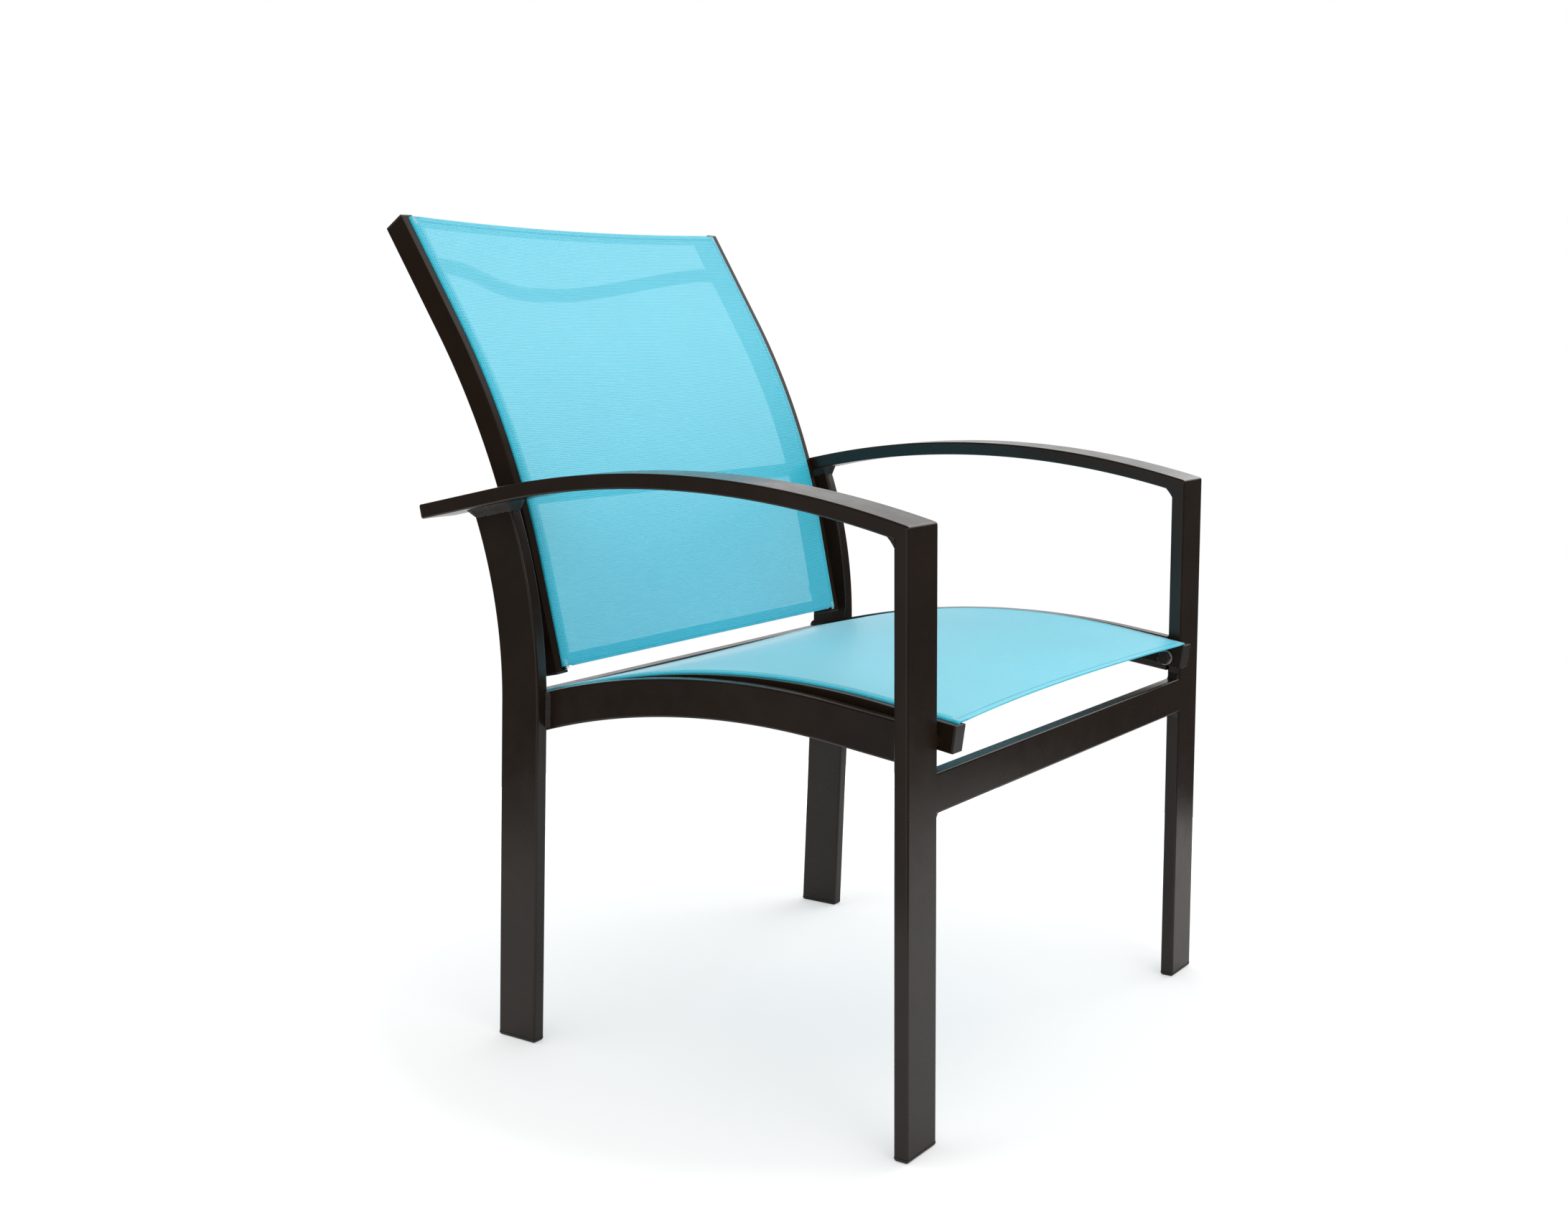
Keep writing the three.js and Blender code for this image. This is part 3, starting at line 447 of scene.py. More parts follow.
def principled(name, constants):
    """A material whose one Principled shader carries its constant values on its own sockets."""
    material = bpy.data.materials.new(name)
    material.use_nodes = True
    shader = next(n for n in material.node_tree.nodes if n.type == "BSDF_PRINCIPLED")
    for key, value in constants.items():
        shader.inputs[key].default_value = value
    return material, Graph(material.node_tree), shader.inputs


def srgb(red, green, blue):
    """A colour given in picture values, as linear light, by the standard curve."""
    def linear(value):
        share = value / 255
        return share / 12.92 if share <= 0.04045 else ((share + 0.055) / 1.055) ** 2.4
    return (linear(red), linear(green), linear(blue), 1.0)


# %% [markdown]
# The frame is powder coated. Powder melts to a satin film with a fine orange-peel skin, a slight unevenness
# of tone and fine pale specks. A bump far finer than any mesh draws the skin. Moulded plugs, plated steel,
# vinyl and thread are uneven in the same ways, each with its own colours and amounts.

# %% An uneven film
CLOUD_SCALE, CLOUD_SPAN, CLOUD_MOST = 14.0, (0.35, 0.65), 0.6
SPECKLE_SCALE, SPECKLE_SPAN, SPECKLE_MOST = 2600.0, (0.5, 0.75), 0.15
SMUDGE_SCALE, SMUDGE_SPAN, SMUDGE_MOST = 38.0, (0.3, 0.7), 0.04
PEEL_SCALE, PEEL_DEPTH = 520.0, 0.2 * MM


def film_group():
    """Uneven satin film: a tone, a roughness and an orange-peel normal from the place on the piece."""
    group, graph, given, gives = node_group(
        "film_finish",
        {"Place": VECTOR, "Dark": COLOUR, "Light": COLOUR, "Roughness": NUMBER, "Peel": NUMBER},
        {"Colour": COLOUR, "Roughness": NUMBER, "Normal": VECTOR},
    )
    place = given["Place"]
    cloudy = graph.range(graph.noise(place, CLOUD_SCALE, 3.0), *CLOUD_SPAN, 0.0, CLOUD_MOST)
    speckle = graph.range(graph.noise(place, SPECKLE_SCALE, 1.0), *SPECKLE_SPAN, 0.0, SPECKLE_MOST)
    smudge = graph.range(graph.noise(place, SMUDGE_SCALE, 4.0, 0.6), *SMUDGE_SPAN, -SMUDGE_MOST, SMUDGE_MOST)
    graph.feed_all(gives, {
        "Colour": graph.mix(graph.math("ADD", cloudy, speckle), given["Dark"], given["Light"]),
        "Roughness": graph.math("ADD", given["Roughness"], smudge),
        "Normal": graph.bump(graph.noise(place, PEEL_SCALE), given["Peel"], PEEL_DEPTH),
    })
    return group


film_finish = film_group()
print("film group gives", [item.name for item in film_finish.interface.items_tree if item.in_out == "OUTPUT"])


# %% The coat, plastic, metals and threads
BRONZE = (28, 19, 12), (35, 26, 19)
ZINC = (176, 172, 166), (206, 203, 198)


def film_material(name, dark, light, roughness, peel, constants=None):
    """A coated or moulded surface, between a dark and a light picture colour."""
    material, graph, shader = principled(name, constants or {})
    film = grouped(graph, film_finish, {
        "Place": graph.node("ShaderNodeTexCoord").outputs["Object"],
        "Dark": srgb(*dark), "Light": srgb(*light), "Roughness": roughness, "Peel": peel,
    })
    graph.feed_all(shader, {
        "Base Color": film["Colour"], "Roughness": film["Roughness"], "Normal": film["Normal"],
    })
    return material


coat = film_material("bronze_powder_coat", *BRONZE, 0.26, 0.06)
# The weld's coat is lighter and greyer than the frame's: a painted sheen.
weld_coat_painted_sheen = film_material("bronze_coat_on_weld_painted_sheen", (34, 27, 23), (46, 38, 33), 0.42, 0.25)
rail_coat = film_material("bronze_rail_coat", *BRONZE, 0.24, 0.06, {"Specular IOR Level": 0.15})
plastic = film_material("dark_plug_plastic", (38, 33, 31), (50, 44, 41), 0.45, 0.15)
bolt_metal = film_material("blackened_bolt_steel", (36, 33, 32), (58, 54, 52), 0.34, 0.1, {"Metallic": 0.7})
washer_metal = film_material("zinc_washer_steel", *ZINC, 0.42, 0.1, {"Metallic": 0.8})
spline_plastic = film_material("spline_vinyl", (205, 200, 190), (225, 221, 213), 0.45, 0.1)
thread = film_material("aqua_thread", (34, 158, 184), (74, 196, 216), 0.55, 0.3)
tack_thread = film_material("pale_tack_thread", (150, 205, 218), (196, 222, 228), 0.5, 0.3)
print("finishes:", [m.name for m in bpy.data.materials])

# %% [markdown]
# The cloth is woven from coated yarn. Its ribs run from rail to rail, one thick weft yarn to each, and thin
# warp yarns pass over one rib and under the next. Light passes between the yarns, so the bars behind show
# as deeper bands. The weave is drawn from the cloth's own flat coordinates, in metres across and along the
# cut piece. Drawing it with a bump keeps the cloth light: modelled yarn by yarn, it would be a million
# faces.

# %% The weave
RIB_PITCH, WARP_PITCH, RIB_DEPTH = 1.94 * MM, 1.3 * MM, 0.22 * MM
YARN, YARN_LIGHT, YARN_SHADE_AND_FADE = srgb(30, 202, 227), srgb(90, 212, 233), srgb(14, 176, 200)
WANDER_STRETCH, WANDER_MOST = (9.0, 160.0, 1.0), 0.25
WARP_SHARE, RIB_BUMP = 0.45, 0.4
VALLEY_SHADE_SPAN, COVER_SPAN = (0.2, 1.1), (0.15, 1.0)
SLUBS = {"stretch": (45.0, 700.0, 1.0), "detail": 3.0, "span": (0.5, 0.75), "most": 0.45}
FLECKS = {"stretch": (800.0, 500.0, 1.0), "detail": 2.0, "span": (0.55, 0.75), "most": 0.35}
YARN_ROUGHNESS = 0.6
FADE_SCALE, FADE_SPAN, FADE_MOST = 9.0, (0.35, 0.65), 0.12


def weave_group():
    """Ribs with painted shade in their valleys, warp crossings, light slubs, random fading and the open
    spaces of the mesh, from flat cloth coordinates.
    """
    group, graph, given, gives = node_group(
        "mesh_weave",
        {"Flat": VECTOR, "Least cover": NUMBER, "Most cover": NUMBER},
        {"Colour": COLOUR, "Cover": NUMBER, "Normal": VECTOR},
    )
    flat = given["Flat"]
    split = graph.node("ShaderNodeSeparateXYZ", {"Vector": flat}).outputs
    wander = graph.range(graph.stretched_noise(flat, WANDER_STRETCH), 0.0, 1.0, -WANDER_MOST, WANDER_MOST)
    along = graph.math("ADD", graph.math("DIVIDE", split["Y"], RIB_PITCH), wander)
    across = graph.math("DIVIDE", split["X"], WARP_PITCH)
    rib = graph.math("ABSOLUTE", graph.math("SINE", graph.math("MULTIPLY", along, math.pi)))
    turn = graph.math("MULTIPLY", graph.math("FLOOR", along), math.pi)
    cross = graph.math("SINE", graph.math("MULTIPLY_ADD", across, math.tau, turn))
    height = graph.math("MULTIPLY_ADD", graph.range(cross, -1.0, 1.0), WARP_SHARE, rib)
    # The valleys between the ribs get the darker yarn colour: this is painted shade of the weave.
    yarn = graph.mix(graph.range(height, *VALLEY_SHADE_SPAN), YARN_SHADE_AND_FADE, YARN)
    for pale in (SLUBS, FLECKS):
        patches = graph.stretched_noise(flat, pale["stretch"], pale["detail"], YARN_ROUGHNESS)
        yarn = graph.mix(graph.range(patches, *pale["span"], 0.0, pale["most"]), yarn, YARN_LIGHT)
    fade = graph.range(graph.noise(flat, FADE_SCALE, 3.0), *FADE_SPAN, 0.0, FADE_MOST)
    graph.feed_all(gives, {
        # Fading towards the same darker colour at random is the yarn's own uneven tone, not shade.
        "Colour": graph.mix(fade, yarn, YARN_SHADE_AND_FADE),
        "Cover": graph.range(height, *COVER_SPAN, given["Least cover"], given["Most cover"]),
        "Normal": graph.bump(height, RIB_BUMP, RIB_DEPTH),
    })
    return group


mesh_weave = weave_group()
print("ribs", RIB_PITCH / MM, "mm apart, warp yarns", WARP_PITCH / MM, "mm")

# %% [markdown]
# Both slings are cut from one cloth, but the seat's mesh is set closer here. The photograph looks along the
# seat, and from so low the real yarns, which have thickness, hide the spaces between them. A drawn weave
# has none, so the seat's share of open space is made small for it instead, and its gloss a little less.

# %% Seat and back cloth
BACK_COVER, SEAT_COVER = (0.46, 0.78), (0.9, 0.97)
BACK_GLOSS = {"Roughness": 0.36, "Specular IOR Level": 0.7, "Sheen Weight": 0.6, "Sheen Roughness": 0.4}
SEAT_GLOSS = {"Roughness": 0.4, "Specular IOR Level": 0.55, "Sheen Weight": 0.42, "Sheen Roughness": 0.4}


def cloth_material(name, gloss, cover):
    """Coated yarn with light coming through between the yarns."""
    material, graph, shader = principled(name, gloss)
    flat = graph.node("ShaderNodeUVMap", uv_map="cut").outputs["UV"]
    weave = grouped(graph, mesh_weave, {"Flat": flat, "Least cover": cover[0], "Most cover": cover[1]})
    graph.feed_all(shader, {
        "Base Color": weave["Colour"], "Alpha": weave["Cover"], "Normal": weave["Normal"],
    })
    return material


cloth_looks = {
    "back": cloth_material("aqua_back_mesh", BACK_GLOSS, BACK_COVER),
    "seat": cloth_material("aqua_seat_mesh", SEAT_GLOSS, SEAT_COVER),
}
print("least and most cover: back", BACK_COVER, "seat", SEAT_COVER)

# %% [markdown]
# Frame pieces whose shape is already right, such as the hexagon bolts and the spacers, only need a finish.
# They get it here, and the pieces that are made anew below get theirs as they are made.

# %% Finish the frame's own pieces
LOOKS = {
    "cap": plastic, "glide": plastic, "spacer": coat, "bolt": bolt_metal, "washer": washer_metal,
    "spline": spline_plastic, "sling": cloth_looks["seat"], "seat_rail": rail_coat, "back_rail": rail_coat,
}
for node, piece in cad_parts.items():
    look = next((finish for key, finish in LOOKS.items() if key in node), coat)
    for slot in piece.material_slots:
        slot.material = look
print(len(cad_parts), "frame pieces have their finish")

# %% [markdown]
# ## From sections to smooth bars
# The frame comes in with flat facets along its bends, which would break up a long highlight. Each tube is
# therefore drawn again, in the same place: a section with soft corners is repeated along the run, and
# neighbouring sections are joined into a skin. A bevelled curve would be quicker, but its ends can't be cut
# at a slant, as a mitre needs. Wide faces would look pillowed when shaded smooth, so a weighted-normal
# modifier keeps them flat.

# %% From mesh code to a piece
SHARP_ANGLE = math.radians(50)


def as_piece(name, mesh, look, nodes=()):
    """Turn mesh code into an object, with its finish and what it stands for."""
    data = bpy.data.meshes.new(name)
    mesh.to_mesh(data)
    mesh.free()
    data.materials.append(look)
    piece = bpy.data.objects.new(name, data)
    bpy.context.scene.collection.objects.link(piece)
    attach(piece, "root")
    if nodes:
        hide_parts(*nodes)
    return piece


def finished(name, mesh, look, nodes=()):
    """A piece with soft shading, whose sharp edges stay sharp and whose wide faces stay flat."""
    bmesh.ops.recalc_face_normals(mesh, faces=mesh.faces)
    for face in mesh.faces:
        face.smooth = True
    for edge in mesh.edges:
        edge.smooth = len(edge.link_faces) == 2 and edge.calc_face_angle(0) < SHARP_ANGLE
    piece = as_piece(name, mesh, look, nodes)
    weighted = piece.modifiers.new("flat_faces", "WEIGHTED_NORMAL")
    weighted.keep_sharp = True
    return piece


# %% From rings to skins, left and right
SIDES = {"left": 1, "right": -1}


def skin(mesh, rings, looped=False):
    """Join rings of points, each a closed loop, into a tube. Open tubes get end faces."""
    grid = [[mesh.verts.new(point) for point in ring] for ring in rings]
    for low, high in zip(grid, grid[1:] + grid[:1] if looped else grid[1:]):
        for corners in zip(low, low[1:] + low[:1], high[1:] + high[:1], high):
            mesh.faces.new(corners)
    if not looped:
        mesh.faces.new(grid[0])
        mesh.faces.new(grid[-1])


def on_side(rings, side):
    return [[Vector((SIDES[side] * p.x, p.y, p.z)) for p in ring] for ring in rings]


def stand_in(name, rings, look, looped=False):
    """A skin over rings, in place of the node of its name."""
    mesh = bmesh.new()
    skin(mesh, rings, looped)
    finished(name + "_skin", mesh, look, [name])


def one_side(side, name, rings, look, looped=False):
    """A piece drawn for the left, put on one side."""
    stand_in(side + "_" + name, on_side(rings, side), look, looped)


def both_sides(name, rings, look, looped=False):
    """The same piece on the left and, mirrored, on the right."""
    for side in SIDES:
        one_side(side, name, rings, look, looped)


# %% Sections and where their lines end
CORNER_STEPS, BEND_STEPS = 6, 96
HALVINGS = 40


def arc_points(centre, radius, start, end, steps):
    """Points on a circular arc, as (inward, height) pairs, from one angle in degrees to another."""
    angles = (math.radians(start + (end - start) * i / steps) for i in range(steps + 1))
    return [(centre[0] + radius * math.cos(a), centre[1] + radius * math.sin(a)) for a in angles]


def rounded_box(x0, y0, x1, y1, corner):
    """The outline of a tube: four sides and four soft corners."""
    centres = [(x1 - corner, y1 - corner), (x0 + corner, y1 - corner),
               (x0 + corner, y0 + corner), (x1 - corner, y0 + corner)]
    outline = []
    for turn, centre in enumerate(centres):
        outline += arc_points(centre, corner, 90 * turn, 90 * turn + 90, CORNER_STEPS)
    return outline


def crossing(run, line, past, low, high):
    """How far along a run one of its lines meets a surface. past tells how far a point is beyond it."""
    for _ in range(HALVINGS):
        middle = (low + high) / 2
        if past(run.at(*line, middle)) > 0:
            high = middle
        else:
            low = middle
    return low


def crossings(run, section, past, low, high):
    return [crossing(run, line, past, low, high) for line in section]


def bar_rings(run, section, starts=None, ends=None):
    """Sections along a run. Each lengthwise line has its own start and end, or else the run's."""
    starts = starts or [0] * len(section)
    ends = ends or [run.length] * len(section)
    return [[run.at(*line, a + (b - a) * j / BEND_STEPS) for line, a, b in zip(section, starts, ends)]
            for j in range(BEND_STEPS + 1)]


# %% [markdown]
# ## Arms and front legs
# Arm and front leg are one broad, flat tube, cut across at a corner and welded. Two straight-cut tubes
# pushed into each other would show their seam in the wrong place. The real cut runs from the outer corner
# to where the leg's back face meets the arm's underside, so each line of the two tubes ends on that plane.

# %% The mitre's plane
TUBE_CORNER = 2.5 * MM
GLIDE_HEIGHT = 4 * MM


def arm_height(depth, behind):
    """The height of the arm's arc, at a depth below its top and a distance behind its front end."""
    return ARM_CREST[1] - ARM_RADIUS + math.sqrt((ARM_RADIUS - depth) ** 2 - (ARM_CREST[0] - behind) ** 2)


arm_top_front = arm_height(0, 0)
arm_under_front = arm_height(TUBE, TUBE)
mitre_slope = (arm_under_front - arm_top_front) / TUBE


def above_mitre(point):
    return point.z - arm_top_front - mitre_slope * (point.y - legs_front)


print("the arm's corner is", round(arm_top_front, 4), "m high, mitred at",
      round(math.degrees(math.atan(mitre_slope)), 1), "degrees")

# %% [markdown]
# The mitred weld is ground round, so the outer corner is soft too. A bevel modifier would soften the inside
# of the corner as well. So every line of both tubes turns through half of the corner on an arc of its own,
# which is smaller the deeper the line lies.

# %% Turn the lines through the corner
MITRE_ROUND, LEAST_ROUND = 3.5 * MM, 0.3 * MM
ROUND_TURNS = 5
arm_slope = math.asin(ARM_CREST[0] / ARM_RADIUS)
along_arm = Vector((0, math.cos(arm_slope), math.sin(arm_slope)))
above_arm = Vector((0, -math.sin(arm_slope), math.cos(arm_slope)))
down_leg, before_leg = Vector((0, 0, -1)), Vector((0, -1, 0))
into_corner = (along_arm + down_leg).normalized()
half_corner = along_arm.angle(down_leg) / 2


def turned_ring(ring, depths, outward, share):
    """The mitre's ring, each line moved on its own arc: share 0 is the face's tangent, share 1 the mitre."""
    moved = []
    for point, depth in zip(ring, depths):
        radius = max(MITRE_ROUND - depth, LEAST_ROUND)
        centre = point + into_corner * (radius / math.sin(half_corner))
        moved.append(centre + (outward * (1 - share) - into_corner * share).normalized() * radius)
    return moved


def turned_rings(ring, depths, outward):
    return [turned_ring(ring, depths, outward, 1 - k / ROUND_TURNS) for k in range(ROUND_TURNS + 1)]


print("half of the corner is", round(math.degrees(half_corner), 1), "degrees")

# %% Arms and front legs
MITRE_SEARCH = (-45 * MM, 60 * MM)
broad_section = rounded_box(0, -TUBE, BROAD, 0, TUBE_CORNER)
arm_rings = bar_rings(arm_run, broad_section, crossings(arm_run, broad_section, above_mitre, *MITRE_SEARCH))
arm_corner = turned_rings(arm_rings[0], [-height for _, height in broad_section], above_arm)
both_sides("arm", arm_corner + arm_rings[1:], coat)

leg_outline = rounded_box(arm_inner, legs_front, chair_half, legs_front + TUBE, TUBE_CORNER)
leg_foot = [Vector((x, y, GLIDE_HEIGHT + GAP)) for x, y in leg_outline]
leg_top = [Vector((x, y, arm_top_front + mitre_slope * (y - legs_front))) for x, y in leg_outline]
leg_corner = turned_rings(leg_top, [y - legs_front for _, y in leg_outline], before_leg)
both_sides("front_leg", [leg_foot] + leg_corner[::-1], coat)
print("arms and front legs:", len(broad_section), "lines, rounded by", MITRE_ROUND / MM, "mm at the corner")

# %% [markdown]
# ## Rear legs, side rails, apron and crossbar
# The rear leg is the same tube on edge. It rises until it meets the arm's underside, which is an arc too,
# so each of its lines ends where its depth below the arm's top is one tube thickness. A boolean cut would
# do the same, but it would leave slivers along the soft corners.

# %% Rear legs
NEAR_START = (-20 * MM, 60 * MM)
FAR_FROM, PAST_END = 400 * MM, 20 * MM
leg_section = rounded_box(0, -BROAD, TUBE, 0, TUBE_CORNER)


def above_glide(point):
    return point.z - GLIDE_HEIGHT - GAP


def into_arm(point):
    return TUBE - arm_profile.depth_of(point)


def under_arm(line):
    """How far along the rear leg one of its lines meets the arm."""
    return crossing(rear_leg_run, line, into_arm, FAR_FROM, rear_leg_run.length + PAST_END)


rear_leg_starts = crossings(rear_leg_run, leg_section, above_glide, *NEAR_START)
rear_leg_ends = [under_arm(line) for line in leg_section]
rear_leg_rings = bar_rings(rear_leg_run, leg_section, rear_leg_starts, rear_leg_ends)
both_sides("rear_leg", rear_leg_rings, coat)
print("rear leg cut", round(min(rear_leg_ends), 4), "to", round(max(rear_leg_ends), 4), "m along")

# %% [markdown]
# The side rails are narrower tubes, cut upright against the front legs and the crossbar. Apron and crossbar
# run straight across. The apron's ends go into the legs' soft corners, because its weld is ground flush
# there.

# %% Side rails
RAIL_TUBE = 38.1 * MM
rail_tube_section = rounded_box(0, -RAIL_TUBE, TUBE, 0, TUBE_CORNER)


def behind_leg(point):
    return point.y - legs_front - TUBE


def behind_crossbar(point):
    return point.y - legs_front - CROSSBAR_FRONT


for side, run in side_rail_runs.items():
    starts = crossings(run, rail_tube_section, behind_leg, *NEAR_START)
    ends = crossings(run, rail_tube_section, behind_crossbar, FAR_FROM, run.length)
    one_side(side, "side_rail", bar_rings(run, rail_tube_section, starts, ends), coat)
    print(side, "side rail", round(max(ends) - min(starts), 4), "m long")

# %% Apron and crossbar
APRON_TOP = 349.4 * MM
CROSSBAR_TOP = 369 * MM


def cross_outline(front, top):
    """The outline of a tube that runs across the chair, as (y, z) pairs."""
    return rounded_box(legs_front + front, top - RAIL_TUBE, legs_front + front + TUBE, top, TUBE_CORNER)


def cross_tube(name, outline, half):
    rings = [[Vector((x, y, z)) for y, z in outline] for x in (-half, half)]
    stand_in(name, rings, coat)


apron_outline = cross_outline(0, APRON_TOP)
crossbar_outline = cross_outline(CROSSBAR_FRONT, CROSSBAR_TOP)
cross_tube("front_apron", apron_outline, arm_inner + TUBE_CORNER)
cross_tube("rear_crossbar", crossbar_outline, leg_inner)
print("apron", round(2 * arm_inner, 4), "m between the legs, crossbar", round(2 * leg_inner, 4), "m")

# %% [markdown]
# ## Grooved sling rails
# The rail is an extrusion: a keyhole groove in its face holds the cloth's thick edge and lets its thin neck
# out. The groove goes in and out of the section's own outline, so no hole has to be cut afterwards. The
# lips of the slot are rounded, so that the cloth isn't cut where it bends over them.

# %% Rails with a keyhole groove
RAIL_WIDTH, RAIL_DEPTH, RAIL_CORNER = 17 * MM, 26 * MM, 1.0 * MM
GROOVE_CENTRE, SLOT_HALF, LIP = 10.8 * MM, 1.2 * MM, 0.6 * MM
BORE_RADIUS, BORE_DEPTH = 3.5 * MM, 6.8 * MM
BORE_STEPS, LIP_STEPS = 24, 3


def grooved_section():
    """The rail's outline, round its outer corners and in and out of the groove."""
    right, low = RAIL_WIDTH - RAIL_CORNER, RAIL_CORNER - RAIL_DEPTH
    opening = math.degrees(math.asin(SLOT_HALF / BORE_RADIUS))
    return [
        *arc_points((right, -RAIL_CORNER), RAIL_CORNER, 0, 90, CORNER_STEPS),
        *arc_points((GROOVE_CENTRE + SLOT_HALF + LIP, -LIP), LIP, 90, 180, LIP_STEPS),
        *arc_points((GROOVE_CENTRE, -BORE_DEPTH), BORE_RADIUS, 90 - opening, opening - 270, BORE_STEPS),
        *arc_points((GROOVE_CENTRE - SLOT_HALF - LIP, -LIP), LIP, 0, 90, LIP_STEPS),
        *arc_points((RAIL_CORNER, -RAIL_CORNER), RAIL_CORNER, 90, 180, CORNER_STEPS),
        *arc_points((RAIL_CORNER, low), RAIL_CORNER, 180, 270, CORNER_STEPS),
        *arc_points((right, low), RAIL_CORNER, 270, 360, CORNER_STEPS),
    ]


rail_runs = {"seat": seat_run, "back": back_run}
rail_section = grooved_section()
for name, run in rail_runs.items():
    both_sides(name + "_rail", bar_rings(run, rail_section), rail_coat)
print("rail section of", len(rail_section), "points, groove", 2 * SLOT_HALF / MM, "mm wide at its mouth")

# %% [markdown]
# The spline is a round vinyl cord in the groove's bore. It is thicker than the slot, so the pocket round it
# can't pull out. It is one small circle, swept as the rail is.

# %% Splines
SPLINE_RADIUS, SPLINE_STEPS = 2 * MM, 16
cord_section = arc_points((GROOVE_CENTRE, -BORE_DEPTH), SPLINE_RADIUS, 0, 360, SPLINE_STEPS)[:-1]
for name, run in rail_runs.items():
    both_sides(name + "_spline", bar_rings(run, cord_section), spline_plastic)
print("splines", 2 * SPLINE_RADIUS / MM, "mm across")

# %% [markdown]
# ## Plugs and glides
# Each open tube end is closed by a moulded plug. What shows of it is a thin plate with a softened outer
# edge, and under each leg a glide with well-rounded lower edges, a touch wider than the tube that it sits
# in. Both are stacks of outlines that shrink on a quarter circle, which rounds the edge without a modifier.

# %% Plugs
PLATE_EDGE = 0.8 * MM
EDGE_STEPS = 4


def quarter_edge(reach, edge):
    """Steps over a rounded edge, as (distance along, inset) pairs, from the full size to the end face."""
    angles = [QUARTER * k / EDGE_STEPS for k in range(EDGE_STEPS + 1)]
    return [(0, 0)] + [(reach - edge + edge * math.sin(a), edge * (1 - math.cos(a))) for a in angles]


def plate_rings(run, width, depth, corner, end):
    """A plug's plate beyond one end of a run, with its outer edge rounded."""
    outward = 1 if end > 0 else -1
    rings = []
    for along, inset in quarter_edge(CAP_PLATE, PLATE_EDGE):
        outline = rounded_box(inset, inset - depth, width - inset, -inset, corner - inset)
        rings.append([run.at(*line, end + outward * (GAP + along)) for line in outline])
    return rings


RAIL_SIZE = (RAIL_WIDTH, RAIL_DEPTH, RAIL_CORNER)
PLUGS = {
    "arm_end_cap": (arm_run, BROAD, TUBE, TUBE_CORNER, arm_run.length),
    "seat_rail_front_cap": (seat_run, *RAIL_SIZE, 0),
    "seat_rail_rear_cap": (seat_run, *RAIL_SIZE, seat_run.length),
    "back_rail_lower_cap": (back_run, *RAIL_SIZE, 0),
    "back_rail_upper_cap": (back_run, *RAIL_SIZE, back_run.length),
}
for name, plug in PLUGS.items():
    both_sides(name, plate_rings(*plug), plastic)
print(len(PLUGS), "kinds of plug, on both sides")

# %% Glides
GLIDE_ROUND = 3.5 * MM
GLIDE_PROUD = 0.35 * MM


def glide_rings(x0, y0, x1, y1):
    """A glide under an upright tube, from the tube's end down to the floor."""
    rings = []
    for down, inset in quarter_edge(GLIDE_HEIGHT, GLIDE_ROUND):
        inset -= GLIDE_PROUD
        corner = max(TUBE_CORNER - inset, PLATE_EDGE)
        outline = rounded_box(x0 + inset, y0 + inset, x1 - inset, y1 - inset, corner)
        rings.append([Vector((x, y, GLIDE_HEIGHT - down)) for x, y in outline])
    return rings


rear_foot_front = rear_leg_run.at(0, 0, 0).y
rear_foot_back = rear_foot_front + BROAD / math.cos(LEG_LEAN)
GLIDES = {
    "front_foot_glide": (arm_inner, legs_front, chair_half, legs_front + TUBE),
    "rear_foot_glide": (leg_inner, rear_foot_front, leg_outer, rear_foot_back),
}
for name, corners in GLIDES.items():
    both_sides(name, glide_rings(*corners), plastic)
print("rear feet from", round(rear_foot_front, 4), "to", round(rear_foot_back, 4))

# %% [markdown]
# ## Spreader bars
# Three round bars hold the rails apart against the pull of the cloth. Two are bowed away from the sitter's
# back and seat. A bow drawn through three points would have a kink at its ends. Bent from one straight bar,
# the real one has none, so its offset follows a smooth step from each end to the middle.

# %% Bowed and straight bars
SPREADER_RADIUS = 8 * MM
FLAT_MIDDLE, STRAIGHT_END = 20 * MM, 10 * MM
SPREADER_STEPS, ROUND_STEPS = 64, 24
UPPER_BELOW_TOP = 47.5 * MM
NUDGE = MM
SPREADERS = {
    "seat_spreader": {"run": seat_run, "along": 232 * MM, "back": 0, "up": -36 * MM},
    "lower_back_spreader": {"run": back_run, "along": 184 * MM, "back": 0, "up": 0},
    "upper_back_spreader": {"run": back_run, "along": back_run.length - UPPER_BELOW_TOP, "back": 57 * MM,
                            "up": -27 * MM},
}


def smooth_step(value, low, high):
    share = min(max((value - low) / (high - low), 0), 1)
    return share * share * (3 - 2 * share)


def circle(centre, side, up, radius, steps):
    """Points round a centre, in the plane of two directions."""
    angles = (math.tau * k / steps for k in range(steps))
    return [centre + (side * math.cos(a) + up * math.sin(a)) * radius for a in angles]


def make_spreader(name, run, along, back, up):
    """A round bar between the rails, whose middle is bowed back and up."""
    end = run.at(RAIL_WIDTH, -RAIL_WIDTH, along)
    end.x -= GAP + SPREADER_RADIUS * math.tan(run.splay)

    def middle_line(x):
        share = 1 - smooth_step(abs(x), FLAT_MIDDLE, end.x - STRAIGHT_END)
        return Vector((x, end.y + back * share, end.z + up * share))

    rings = []
    for k in range(SPREADER_STEPS + 1):
        x = end.x * (2 * k / SPREADER_STEPS - 1)
        forward = middle_line(x + NUDGE) - middle_line(x - NUDGE)
        side = forward.cross(Vector((0, 0, 1))).normalized()
        upward = side.cross(forward).normalized()
        rings.append(circle(middle_line(x), side, upward, SPREADER_RADIUS, ROUND_STEPS))
    stand_in(name, rings, coat)
    print(name, "spans", round(2 * end.x, 4), "m, bowed back", round(back, 3), "and up", round(up, 3))


for name, spreader in SPREADERS.items():
    make_spreader(name, **spreader)

